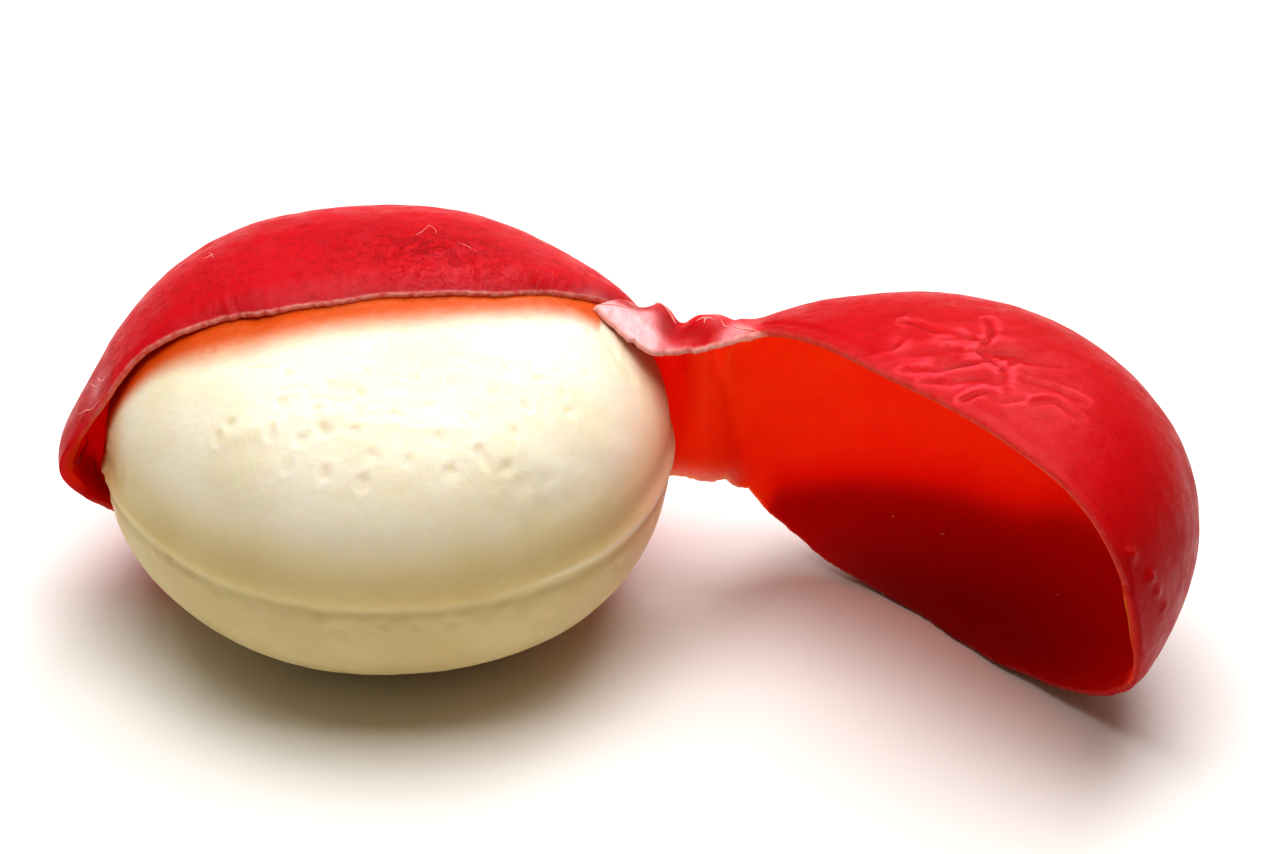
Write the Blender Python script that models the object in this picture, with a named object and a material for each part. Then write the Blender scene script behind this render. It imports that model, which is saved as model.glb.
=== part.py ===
"""A small round cheese in a red wax coat that has been torn open.

The cheese is a domed puck with a fine seam round its middle. The wax was one closed skin round
it. A tear runs across the top, down the left side and back across the bottom, and leaves a neck
of wax at the right. The rear half still holds the cheese, and the front half is swung out on the
neck to the right of it. The closed skin is worked out first, then the front half is turned to its
open place, and the neck is bent between the two.

Frame: origin on the surface the cheese stands on, under the cheese's middle. +Z is up, +X runs
from the cheese to the open half, and -Y faces the bare side of the cheese. Until the objects are
finished, heights are measured from the middle of the cheese instead.
"""

import math

import bmesh
import bpy
import numpy as np
from mathutils import Euler, Matrix

MM = 0.001

# The cheese is the puck |r / radius|^RIM_POWER + |z / half height|^FACE_POWER = 1
CHEESE_RADIUS = 19.0 * MM
CHEESE_HALF_HEIGHT = 11.6 * MM
RIM_POWER = 2.8
FACE_POWER = 2.3
CHEESE_TURNS = 60
CHEESE_RINGS = 13  # from a face's middle to the seam

# The puck isn't quite round: (azimuth in degrees, rise in mm, spread in degrees) of each swelling
SWELLINGS = [(46, -1.05, 24), (88, -0.4, 22), (137, 0.45, 25), (222, -0.2, 22), (312, 0.3, 22)]

# The seam, a low ridge that the two halves of the mould left round the middle
SEAM_RISE = 0.18 * MM
SEAM_WIDTH = 0.55 * MM
SEAM_BAND = 1.6 * MM  # the height either side of the middle that has rings of its own
SEAM_BAND_RINGS = 4

# The wax
WAX_GAP = 0.3 * MM  # from the cheese to the wax round it
WAX_THICKNESS = 0.85 * MM
TORN_THICKNESS = 0.6  # share of the wax's thickness that is left at a torn edge
TORN_TAPER = 1.3 * MM  # how far in from the edge the wax thins
STANDING_FLAT = 0.28 * MM  # depth of the flat spot that the wax stands on under the cheese

# The tears in the closed skin, from the left end to the neck. Each point is the azimuth in
# degrees of the rim that it faces, and its x and y in mm. The front half's azimuths run the other way
REAR_TOP_TEAR = [
    (190, -19.2, -3.35), (180, -18.5, -3.4), (168, -17.0, -3.4), (150, -13.5, -3.1),
    (120, -8.5, -3.0), (90, -0.5, -1.8), (60, 7.8, -0.6), (42, 12.4, 1.1), (34, 14.3, 2.2),
    (28, 16.6, 4.2), (25, 15.6, 2.5), (22, 14.1, 0.9),
]
REAR_BOTTOM_TEAR = [
    (190, -19.3, -3.3), (184, -19.2, -2.1), (176, -18.95, -1.0), (168, -18.3, 0.3),
    (156, -16.8, 0.8), (140, -14.0, -0.6), (118, -8.5, -3.6), (90, 0.0, -5.0), (60, 9.0, -4.0),
    (40, 13.6, -1.0), (28, 16.0, 3.0), (22, 16.6, 5.4),
]
FRONT_TOP_TEAR = [
    (167, -18.7, -4.65), (150, -16.0, -4.4), (120, -9.5, -3.6), (90, -1.0, -2.9),
    (60, 6.5, -2.6), (35, 11.0, -2.4), (10, 12.8, -2.2),
]
FRONT_BOTTOM_TEAR = [
    (167, -19.1, -4.5), (158, -17.4, -5.4), (145, -14.3, -6.1), (120, -8.5, -5.7),
    (90, -0.3, -5.3), (60, 7.2, -5.1), (35, 14.0, -3.8), (20, 17.2, -2.9), (10, 18.5, -2.5),
]
TEAR_WAVE = 0.14 * MM  # how far the torn edges wander

# The front half's turn about the neck, and how far it was dragged
OPEN_ANGLE = math.radians(128.9)
OPEN_TIP_FORWARD = math.radians(4.7)
OPEN_TIP_SIDEWAYS = math.radians(-11.2)
NECK_SHIFT = (0.2 * MM, 4.6 * MM, -2.55 * MM)  # its lowest point comes to rest beside the cheese

# Where the turned half was pressed: (azimuth in degrees, height, rise, spread along, spread up) in mm
FRONT_DENTS = [(-132, 2.0, 0.65, 10.0, 6.5), (-158, -6.5, -0.65, 7.0, 5.0), (-22, 7.0, 0.5, 6.0, 5.0)]

# Sections across the neck, in mm, from its top lip to its bottom lip: where it lies against the
# cheese, in its crease, at its narrowest and where the front half begins
NECK_AT_CHEESE = [
    (17.2, -1.2, 8.1), (17.5, 1.0, 8.3), (17.8, 3.2, 8.2), (18.4, 4.8, 7.5), (19.1, 5.8, 5.8),
    (19.4, 6.0, 3.5), (19.5, 5.8, 0.0), (19.4, 5.2, -2.7), (19.0, 4.2, -5.4),
]
NECK_CREASE = [
    (19.0, -0.4, 7.5), (19.1, 1.4, 7.1), (19.3, 3.0, 6.8), (19.6, 4.2, 6.4), (19.9, 5.0, 5.2),
    (20.1, 5.3, 3.3), (20.3, 5.1, 0.0), (20.3, 4.8, -2.7), (20.2, 3.8, -5.4),
]
NECK_NARROWEST = [
    (20.7, 0.3, 7.2), (20.8, 1.8, 7.1), (20.8, 3.3, 7.2), (20.8, 4.4, 6.8), (20.9, 5.0, 5.4),
    (21.1, 5.0, 3.0), (21.3, 4.9, 0.0), (21.4, 4.6, -2.7), (21.4, 3.5, -5.4),
]
NECK_AT_FRONT = [
    (22.6, -0.1, 7.9), (22.4, 1.6, 7.3), (22.2, 3.2, 7.0), (22.0, 4.5, 6.3), (21.9, 5.1, 4.8),
    (21.9, 5.2, 3.0), (22.2, 5.3, 0.2), (22.5, 5.2, -2.5), (22.6, 4.2, -5.8),
]
NECK_ENTRY = 0.4  # radians of the round skin that the neck's ends follow

# The ear, the rear half's left end, which stands away from the cheese
EAR_START = math.radians(150.0)
EAR_END = math.radians(190.0)
EAR_FLARE = 2.1 * MM
EAR_HEIGHT = 0.4 * MM  # where the flare is widest
EAR_RISE = 3.4 * MM  # how far above that it fades
EAR_DROP = 2.5 * MM  # how far below

# How finely the wax is divided
SIDE_SECTIONS = 30
NECK_SECTIONS = 9
SECTION_POINTS = 21
CURVE_SAMPLES = 240

WAX_INSIDE = WAX_GAP
WAX_OUTSIDE = WAX_GAP + WAX_THICKNESS
WAX_MIDDLE = (WAX_INSIDE + WAX_OUTSIDE) / 2
MIDDLE_RADIUS = CHEESE_RADIUS + WAX_MIDDLE
PUCK_CENTRE_HEIGHT = CHEESE_HALF_HEIGHT + WAX_OUTSIDE - STANDING_FLAT


def clear_scene():
    for thing in list(bpy.data.objects):
        bpy.data.objects.remove(thing)


def smooth_step(value):
    """0 below 0, 1 above 1, and a smooth rise between."""
    value = np.clip(value, 0.0, 1.0)
    return value * value * (3.0 - 2.0 * value)


def hermite(start, end, leave, arrive, t):
    """A point on the cubic from start to end. leave and arrive are its slopes there."""
    ends = (1 + 2 * t) * (1 - t) ** 2 * start + t * t * (3 - 2 * t) * end
    return ends + t * (1 - t) ** 2 * leave - t * t * (1 - t) * arrive


def swell(points):
    """The puck's own uneven outline, given to points of the round puck."""
    azimuth = np.degrees(np.arctan2(points[..., 1], points[..., 0]))
    rise = np.zeros(azimuth.shape)
    for middle, height, spread in SWELLINGS:
        away = (azimuth - middle + 180.0) % 360.0 - 180.0
        rise += height * MM * np.exp(-((away / spread) ** 2))
    spread_out = points.copy()
    spread_out[..., :2] *= (1.0 + rise / CHEESE_RADIUS)[..., None]
    return spread_out


def make_material(name, colour, roughness):
    material = bpy.data.materials.new(name)
    material.use_nodes = True
    shader = material.node_tree.nodes["Principled BSDF"]
    shader.inputs["Base Color"].default_value = (*colour, 1.0)
    shader.inputs["Roughness"].default_value = roughness
    shader.inputs["Metallic"].default_value = 0.0
    return material


def object_from(bm, name, material):
    """The finished object, standing on the surface, from a mesh made round the cheese's middle."""
    bmesh.ops.translate(bm, verts=bm.verts, vec=(0.0, 0.0, PUCK_CENTRE_HEIGHT))
    bmesh.ops.recalc_face_normals(bm, faces=bm.faces)
    mesh = bpy.data.meshes.new(name)
    bm.to_mesh(mesh)
    bm.free()
    mesh.shade_smooth()
    mesh.set_sharp_from_angle(angle=math.radians(50.0))
    mesh.materials.append(material)
    thing = bpy.data.objects.new(name, mesh)
    bpy.context.collection.objects.link(thing)
    return thing


# The cheese


def seam_bulge(height):
    return SEAM_RISE * math.exp(-((height / SEAM_WIDTH) ** 2))


def cheese_profile():
    """(radius, height) points from the bottom pole to the top pole."""
    band = [SEAM_BAND * step / SEAM_BAND_RINGS for step in range(SEAM_BAND_RINGS)]
    last_angle = math.acos((SEAM_BAND / CHEESE_HALF_HEIGHT) ** (FACE_POWER / 2))
    upper = []
    for height in band:
        share = 1 - (height / CHEESE_HALF_HEIGHT) ** FACE_POWER
        upper.append((CHEESE_RADIUS * share ** (1 / RIM_POWER), height))
    for ring in range(CHEESE_RINGS):
        angle = last_angle * (1 - ring / CHEESE_RINGS)
        radius = CHEESE_RADIUS * math.sin(angle) ** (2 / RIM_POWER)
        height = CHEESE_HALF_HEIGHT * math.cos(angle) ** (2 / FACE_POWER)
        upper.append((radius, height))
    upper = [(radius + seam_bulge(height), height) for radius, height in upper]
    upper.append((0.0, CHEESE_HALF_HEIGHT))
    lower = [(radius, -height) for radius, height in reversed(upper[1:])]
    return lower + upper


def build_cheese():
    bm = bmesh.new()
    outline = [bm.verts.new((radius, 0.0, height)) for radius, height in cheese_profile()]
    edges = [bm.edges.new(pair) for pair in zip(outline, outline[1:])]
    bmesh.ops.spin(
        bm,
        geom=outline + edges,
        axis=(0.0, 0.0, 1.0),
        cent=(0.0, 0.0, 0.0),
        angle=2 * math.pi,
        steps=CHEESE_TURNS,
        use_merge=True,
    )
    bmesh.ops.remove_doubles(bm, verts=bm.verts, dist=0.01 * MM)
    for vert in bm.verts:
        vert.co = swell(np.array(vert.co))
    return object_from(bm, "cheese", make_material("cheese", (0.86, 0.80, 0.62), 0.45))


# The closed skin


def tear_point(tear, azimuth, phase):
    """(x, y) of a tear where it faces the rim at that azimuth, on a smooth curve through its points."""
    degrees = math.degrees(azimuth)
    known = np.array(tear)[::-1]
    steps = np.diff(known[:, 1:], axis=0) / np.diff(known[:, 0])[:, None]
    before, after = steps[:-1], steps[1:]
    same_way = before * after > 0
    total = np.where(same_way, before + after, 1.0)
    slopes = np.zeros((len(known), 2))
    slopes[1:-1] = np.where(same_way, 2 * before * after / total, 0.0)
    slopes[0], slopes[-1] = steps[0], steps[-1]
    span = int(np.clip(np.searchsorted(known[:, 0], degrees) - 1, 0, len(known) - 2))
    width = known[span + 1, 0] - known[span, 0]
    t = (degrees - known[span, 0]) / width
    leave, arrive = slopes[span] * width, slopes[span + 1] * width
    x, y = hermite(known[span, 1:], known[span + 1, 1:], leave, arrive, t) * MM
    wave = math.sin(x / (1.9 * MM) + phase) + 0.6 * math.sin(x / (0.83 * MM) + 2 * phase)
    from_ends = min(degrees - known[0, 0], known[-1, 0] - degrees) / 20.0
    return np.array([x, y + TEAR_WAVE * wave * min(from_ends, 1.0)])


def skin_points(plan, side, offset):
    """Points of the closed skin over plan positions given at the middle of the wax's thickness.

    side is +1 on the top half and -1 on the bottom half. offset is the distance from the cheese.
    """
    share = np.clip(np.hypot(plan[:, 0], plan[:, 1]) / MIDDLE_RADIUS, 0.0, 1.0)
    height = (CHEESE_HALF_HEIGHT + offset) * (1 - share**RIM_POWER) ** (1 / FACE_POWER)
    spread = (CHEESE_RADIUS + offset) / MIDDLE_RADIUS
    return np.column_stack([plan * spread, side * height])


def evenly(points, measured):
    """The points at even distances along a curve. Each row of measured is that curve's own point."""
    run = np.concatenate([[0.0], np.cumsum(np.linalg.norm(np.diff(measured, axis=0), axis=1))])
    stops = np.linspace(0.0, run[-1], SECTION_POINTS)
    return np.column_stack([np.interp(stops, run, points[:, k]) for k in range(points.shape[1])]), stops


def two_faces(centre, across, stops):
    """Inner and outer points either side of a section's centre line, thinner at its two torn ends."""
    from_edge = np.minimum(stops, stops[-1] - stops)
    share = TORN_THICKNESS + (1 - TORN_THICKNESS) * smooth_step(from_edge / TORN_TAPER)
    half = (WAX_THICKNESS / 2 * share)[:, None]
    return np.array([centre - across * half, centre + across * half])


def closed_section(azimuth, top_end, bottom_end):
    """Inner and outer points of one section of the closed skin, from the top tear to the bottom tear.

    Seen from above it runs straight out from the top tear to the rim at that azimuth, and
    straight back to the bottom tear.
    """
    rim = MIDDLE_RADIUS * np.array([math.cos(azimuth), math.sin(azimuth)])
    outward = 1 - (1 - np.linspace(0.0, 1.0, CURVE_SAMPLES)) ** 3
    top = top_end + outward[:, None] * (rim - top_end)
    bottom = bottom_end + outward[::-1, None] * (rim - bottom_end)
    plan = np.vstack([top, bottom[1:]])
    side = np.concatenate([np.ones(CURVE_SAMPLES), -np.ones(CURVE_SAMPLES - 1)])
    measured = skin_points(plan, side, WAX_MIDDLE)
    inner, stops = evenly(skin_points(plan, side, WAX_INSIDE), measured)
    outer, stops = evenly(skin_points(plan, side, WAX_OUTSIDE), measured)
    return two_faces((inner + outer) / 2, (outer - inner) / WAX_THICKNESS, stops)


def half_sections(top_tear, bottom_tear, side):
    """Sections of one half, from its left end to the neck. side is +1 for the rear, -1 for the front."""
    start, end = math.radians(top_tear[0][0]), math.radians(top_tear[-1][0])
    made = []
    for step in range(SIDE_SECTIONS):
        left = 1 - step / (SIDE_SECTIONS - 1)
        azimuth = end + (start - end) * (0.7 * left + 0.3 * left**2)
        top_end = tear_point(top_tear, azimuth, phase=1.0)
        bottom_end = tear_point(bottom_tear, azimuth, phase=2.3)
        made.append(closed_section(side * azimuth, top_end, bottom_end))
    return np.array(made)


# The open wax


def flare_ear(points):
    """The rear half's left end leans away from the cheese."""
    azimuth = np.arctan2(points[..., 1], points[..., 0]) % (2 * math.pi)
    behind = azimuth < 1.5 * math.pi
    above = points[..., 2] - EAR_HEIGHT
    fade = np.exp(-((above / np.where(above > 0, EAR_RISE, EAR_DROP)) ** 2))
    flare = EAR_FLARE * fade * smooth_step((azimuth - EAR_START) / (EAR_END - EAR_START))
    outward = np.stack([np.cos(azimuth), np.sin(azimuth), np.zeros_like(azimuth)], axis=-1)
    return points + outward * np.where(behind, flare, 0.0)[..., None]


def dent_front(points):
    """Presses the front half where it was held, while it is still closed."""
    azimuth = np.arctan2(points[..., 1], points[..., 0])
    outward = np.stack([np.cos(azimuth), np.sin(azimuth), np.zeros_like(azimuth)], axis=-1)
    rise = np.zeros(azimuth.shape)
    for middle, height, push, along, up in FRONT_DENTS:
        away = (azimuth - math.radians(middle)) * CHEESE_RADIUS / (along * MM)
        above = (points[..., 2] - height * MM) / (up * MM)
        rise += push * MM * np.exp(-(away**2) - above**2)
    return points + outward * rise[..., None]


def open_turn():
    """The front half's turn about the neck."""
    tip = Euler((OPEN_TIP_FORWARD, 0.0, 0.0)).to_matrix()
    lean = Euler((0.0, OPEN_TIP_SIDEWAYS, 0.0)).to_matrix()
    return np.array(lean @ tip @ Matrix.Rotation(OPEN_ANGLE, 3, "Z"))


def swing(points, turn):
    hinge = np.array([CHEESE_RADIUS + WAX_OUTSIDE, 0.0, 0.0])
    return (points - hinge) @ turn.T + hinge + np.array(NECK_SHIFT)


def sideways(points):
    """How the closed skin's points move as the azimuth falls, per radian."""
    return np.stack([points[..., 1], -points[..., 0], np.zeros(points.shape[:-1])], axis=-1)


def neck_section(outline):
    """Inner and outer points of a section across the neck, from its centre line."""
    known = np.array(outline) * MM
    fine = np.linspace(0, len(known) - 1, CURVE_SAMPLES)
    slopes = np.gradient(known, axis=0)
    span = np.minimum(fine.astype(int), len(known) - 2)
    t = (fine - span)[:, None]
    curve = hermite(known[span], known[span + 1], slopes[span], slopes[span + 1], t)
    centre, stops = evenly(curve, curve)
    along = np.gradient(centre, axis=0)
    across = np.cross(along, [-1.0, 0.0, 0.0])
    across /= np.linalg.norm(across, axis=1)[:, None]
    return two_faces(centre, across, stops)


def bend_neck(rear_end, front_end, turn):
    """The neck's sections, on smooth curves from the rear half's last section to the front half's."""
    outlines = (NECK_AT_CHEESE, NECK_CREASE, NECK_NARROWEST, NECK_AT_FRONT)
    known = [rear_end, *[neck_section(outline) for outline in outlines], swing(front_end, turn)]
    spans = len(known) - 1
    slopes = [sideways(rear_end) * NECK_ENTRY / spans]
    slopes += [(known[k + 1] - known[k - 1]) / 2 for k in range(1, spans)]
    slopes.append(sideways(front_end) @ turn.T * NECK_ENTRY / spans)
    made = []
    for step in range(1, NECK_SECTIONS + 1):
        way = spans * step / (NECK_SECTIONS + 1)
        span = min(int(way), spans - 1)
        made.append(hermite(known[span], known[span + 1], slopes[span], slopes[span + 1], way - span))
    return np.array(made)


def wax_sections():
    """Inner and outer points of every section, from the ear, over the neck, to the far end."""
    rear = flare_ear(swell(half_sections(REAR_TOP_TEAR, REAR_BOTTOM_TEAR, side=1)))
    front = dent_front(half_sections(FRONT_TOP_TEAR, FRONT_BOTTOM_TEAR, side=-1))
    turn = open_turn()
    neck = bend_neck(rear[-1], front[-1], turn)
    made = np.concatenate([rear, neck, swing(front[::-1], turn)])
    return np.maximum(made, [-math.inf, -math.inf, -PUCK_CENTRE_HEIGHT])


def build_wax():
    bm = bmesh.new()
    loops = []
    for inner, outer in wax_sections():
        loops.append([bm.verts.new(point) for point in [*outer, *inner[::-1]]])
    count = 2 * SECTION_POINTS
    for here, there in zip(loops, loops[1:]):
        for k in range(count):
            following = (k + 1) % count
            bm.faces.new((here[k], here[following], there[following], there[k]))
    for loop in (loops[0], loops[-1]):
        for k in range(SECTION_POINTS - 1):
            bm.faces.new((loop[k], loop[k + 1], loop[count - 2 - k], loop[count - 1 - k]))
    return object_from(bm, "wax", make_material("wax", (0.72, 0.02, 0.03), 0.35))


clear_scene()
build_cheese()
build_wax()
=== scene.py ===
import math

import bpy
import numpy as np
from mathutils import Euler, Matrix, Vector, noise
from mathutils.bvhtree import BVHTree


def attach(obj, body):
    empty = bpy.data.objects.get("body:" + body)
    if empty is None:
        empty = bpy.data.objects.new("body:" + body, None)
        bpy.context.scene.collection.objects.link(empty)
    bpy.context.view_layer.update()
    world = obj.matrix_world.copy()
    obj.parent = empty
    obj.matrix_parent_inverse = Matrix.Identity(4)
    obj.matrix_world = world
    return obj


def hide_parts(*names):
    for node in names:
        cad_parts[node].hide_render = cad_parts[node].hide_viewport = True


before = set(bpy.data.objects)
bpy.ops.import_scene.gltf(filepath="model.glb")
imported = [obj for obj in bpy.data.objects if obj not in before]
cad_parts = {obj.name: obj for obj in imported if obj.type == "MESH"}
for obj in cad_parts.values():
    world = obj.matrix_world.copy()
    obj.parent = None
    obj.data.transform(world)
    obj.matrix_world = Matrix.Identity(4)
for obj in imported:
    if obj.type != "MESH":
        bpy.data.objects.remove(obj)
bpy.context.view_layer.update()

# A small round cheese in a red wax coat that has been torn open. The puck and its skin are worked
# out as in the part's source, with the same sizes, and far more finely. Origin on the floor under
# the cheese, +Z up, metres. Until they are placed, heights are measured from the cheese's middle.

MM = 0.001

# The puck
CHEESE_RADIUS = 19.0 * MM
CHEESE_HALF_HEIGHT = 11.6 * MM
RIM_POWER = 2.8
FACE_POWER = 2.3
SWELLINGS = [(46, -1.05, 24), (88, -0.4, 22), (137, 0.45, 25), (222, -0.2, 22), (312, 0.3, 22)]
SEAM_RISE = 0.25 * MM
SEAM_WIDTH = 0.55 * MM
SEAM_HIGHLIGHT_WIDTH = 0.22 * MM  # width of the painted highlight along the seam's right
CHEESE_TURNS = 520
CHEESE_RINGS = 150

# The wax
WAX_GAP = 0.3 * MM
WAX_THICKNESS = 0.85 * MM
TORN_THICKNESS = 0.6
TORN_TAPER = 1.3 * MM
STANDING_FLAT = 0.28 * MM
TORN_ROUND = 0.22 * MM  # how far in from a torn edge its rounding reaches
TORN_TIP = 0.22  # share of the thickness that is left at the very edge

REAR_TOP_TEAR = [
    (190, -19.2, -3.35), (180, -18.5, -3.4), (168, -17.0, -3.4), (150, -13.5, -3.1),
    (120, -8.5, -3.0), (90, -0.5, -1.8), (60, 7.8, -0.6), (42, 12.4, 1.1), (34, 14.3, 2.2),
    (28, 16.6, 4.2), (25, 15.6, 2.5), (22, 14.1, 0.9),
]
REAR_BOTTOM_TEAR = [
    (190, -19.3, -3.3), (184, -19.2, -2.1), (176, -18.95, -1.0), (168, -18.3, 0.3),
    (156, -16.8, 0.8), (140, -14.0, -0.6), (118, -8.5, -3.6), (90, 0.0, -5.0), (60, 9.0, -4.0),
    (40, 13.6, -1.0), (28, 16.0, 3.0), (22, 16.6, 5.4),
]
FRONT_TOP_TEAR = [
    (167, -18.7, -4.65), (150, -16.0, -4.4), (120, -9.5, -3.6), (90, -1.0, -2.9),
    (60, 6.5, -2.6), (35, 11.0, -2.4), (10, 12.8, -2.2),
]
FRONT_BOTTOM_TEAR = [
    (167, -19.1, -4.5), (158, -17.4, -5.4), (145, -14.3, -6.1), (120, -8.5, -5.7),
    (90, -0.3, -5.3), (60, 7.2, -5.1), (35, 14.0, -3.8), (20, 17.2, -2.9), (10, 18.5, -2.5),
]
TEAR_WAVE = 0.14 * MM
TEAR_RAGS = 0.16 * MM  # how far the finest rags of the torn edges reach
TEAR_WAVELENGTHS = (1.9 * MM, 0.83 * MM)
TEAR_RAG_SIZES = (0.55, 0.25)  # mm
RAGGED_STRETCH = 3.0  # about the length of a more ragged stretch, in mm
CALM_ENDS = 20.0  # degrees at a tear's ends over which its waves set in
REAR_TEAR_BACK = 1.1  # how far behind the solid's own tear the rear one runs, in mm
FRONT_TEAR_BACK = 0.6
BACK_FADE = 25.0  # degrees from the far end over which that grows
REAR_TOP_ROUGHNESS = 1.0
FRONT_TOP_ROUGHNESS = 0.15
BOTTOM_ROUGHNESS = 0.6
REAR_EDGE_SINK = 0.46 * MM  # how far the rear half's top edge is pressed down onto the cheese
REAR_SINK_REACH = 2.6 * MM
REAR_SINK_START = 0.12  # share of the rear half, from the ear, that isn't pressed
REAR_SINK_GROWTH = 0.15
SINK_SMOOTHING = 31  # sections over which the pressing is evened out

OPEN_ANGLE = math.radians(128.9)
OPEN_TIP_FORWARD = math.radians(4.7)
OPEN_TIP_SIDEWAYS = math.radians(-11.2)
NECK_SHIFT = (0.2 * MM, 4.6 * MM, -2.55 * MM)
FRONT_DENTS = [(-132, 2.0, 0.65, 10.0, 6.5), (-158, -6.5, -0.65, 7.0, 5.0), (-22, 7.0, 0.5, 6.0, 5.0)]

NECK_AT_CHEESE = [
    (17.2, -1.2, 8.1), (17.5, 1.0, 8.3), (17.8, 3.2, 8.2), (18.4, 4.8, 7.5), (19.1, 5.8, 5.8),
    (19.4, 6.0, 3.5), (19.5, 5.8, 0.0), (19.4, 5.2, -2.7), (19.0, 4.2, -5.4),
]
NECK_CREASE = [
    (19.0, -0.4, 7.5), (19.1, 1.4, 7.1), (19.3, 3.0, 6.8), (19.6, 4.2, 6.4), (19.9, 5.0, 5.2),
    (20.1, 5.3, 3.3), (20.3, 5.1, 0.0), (20.3, 4.8, -2.7), (20.2, 3.8, -5.4),
]
NECK_NARROWEST = [
    (20.7, 0.3, 7.2), (20.8, 1.8, 7.1), (20.8, 3.3, 7.2), (20.8, 4.4, 6.8), (20.9, 5.0, 5.4),
    (21.1, 5.0, 3.0), (21.3, 4.9, 0.0), (21.4, 4.6, -2.7), (21.4, 3.5, -5.4),
]
NECK_AT_FRONT = [
    (22.6, -0.1, 7.9), (22.4, 1.6, 7.3), (22.2, 3.2, 7.0), (22.0, 4.5, 6.3), (21.9, 5.1, 4.8),
    (21.9, 5.2, 3.0), (22.2, 5.3, 0.2), (22.5, 5.2, -2.5), (22.6, 4.2, -5.8),
]
NECK_ENTRY = 0.4

EAR_START = math.radians(150.0)
EAR_END = math.radians(190.0)
EAR_FLARE = 2.1 * MM
EAR_HEIGHT = 0.4 * MM
EAR_RISE = 3.4 * MM
EAR_DROP = 2.5 * MM

SIDE_SECTIONS = 300
NECK_SECTIONS = 70
RIM_STOPS = [0.0, 0.03, 0.08, 0.15, 0.25, 0.4]  # mm in from a torn edge
MIDDLE_POINTS = 130
SECTION_POINTS = MIDDLE_POINTS + 2 * len(RIM_STOPS)
CURVE_SAMPLES = 500

WAX_INSIDE = WAX_GAP
WAX_OUTSIDE = WAX_GAP + WAX_THICKNESS
WAX_MIDDLE = (WAX_INSIDE + WAX_OUTSIDE) / 2
MIDDLE_RADIUS = CHEESE_RADIUS + WAX_MIDDLE
PUCK_CENTRE_HEIGHT = CHEESE_HALF_HEIGHT + WAX_OUTSIDE - STANDING_FLAT


# Helpers


def ease(value):
    value = np.clip(value, 0.0, 1.0)
    return value * value * (3.0 - 2.0 * value)


def bell(value):
    return np.exp(-(value**2))


def hermite(start, end, leave, arrive, t):
    ends = (1 + 2 * t) * (1 - t) ** 2 * start + t * t * (3 - 2 * t) * end
    return ends + t * (1 - t) ** 2 * leave - t * t * (1 - t) * arrive


def field(points, size, stretch=(1.0, 1.0, 1.0), shift=0.0):
    """Smooth noise from -1 to 1 at points in metres, with features of about size in mm."""
    scaled = np.asarray(points).reshape(-1, 3) / (size * MM * np.array(stretch)) + shift
    values = np.array([noise.noise(Vector(p)) for p in scaled])
    return values.reshape(np.shape(points)[:-1])


def unit(vectors):
    return vectors / np.linalg.norm(vectors, axis=-1)[..., None]


def outward_at(azimuth):
    return np.stack([np.cos(azimuth), np.sin(azimuth), np.zeros_like(azimuth)], axis=-1)


def run_along(curve):
    """The way along a curve from its start to each of its points."""
    return np.concatenate([[0.0], np.cumsum(np.linalg.norm(np.diff(curve, axis=0), axis=1))])


def warp(points, reach, size):
    """Points moved about by up to reach, by noise with features of about size, both in mm."""
    return points + reach * MM * np.stack([field(points, size, shift=k) for k in (1.0, 2.0, 3.0)], axis=-1)


def spot(points, centre, spread):
    """1 at centre and fading to 0, with centre and spread in mm."""
    away = (points - np.array(centre) * MM) / (np.array(spread) * MM)
    return np.exp(-(away**2).sum(axis=-1))


def spots(points, table):
    """The sum of several spots, each (x, y, z, spread along x, y and z, strength), up to 1."""
    return np.clip(sum(row[6] * spot(points, row[:3], row[3:6]) for row in table), 0.0, 1.0)


def swell(points):
    azimuth = np.degrees(np.arctan2(points[..., 1], points[..., 0]))
    rise = np.zeros(azimuth.shape)
    for middle, height, spread in SWELLINGS:
        away = (azimuth - middle + 180.0) % 360.0 - 180.0
        rise += height * MM * np.exp(-((away / spread) ** 2))
    spread_out = points.copy()
    spread_out[..., :2] *= (1.0 + rise / CHEESE_RADIUS)[..., None]
    return spread_out


def link(thing):
    bpy.context.scene.collection.objects.link(thing)


def object_from(name, points, faces, marks, material):
    mesh = bpy.data.meshes.new(name)
    mesh.from_pydata(points.tolist(), [], faces)
    mesh.shade_smooth()
    for mark, values in marks.items():
        attribute = mesh.attributes.new(mark, "FLOAT", "POINT")
        attribute.data.foreach_set("value", np.asarray(values, np.float32).ravel())
    mesh.materials.append(material)
    thing = bpy.data.objects.new(name, mesh)
    link(thing)
    return thing


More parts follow.
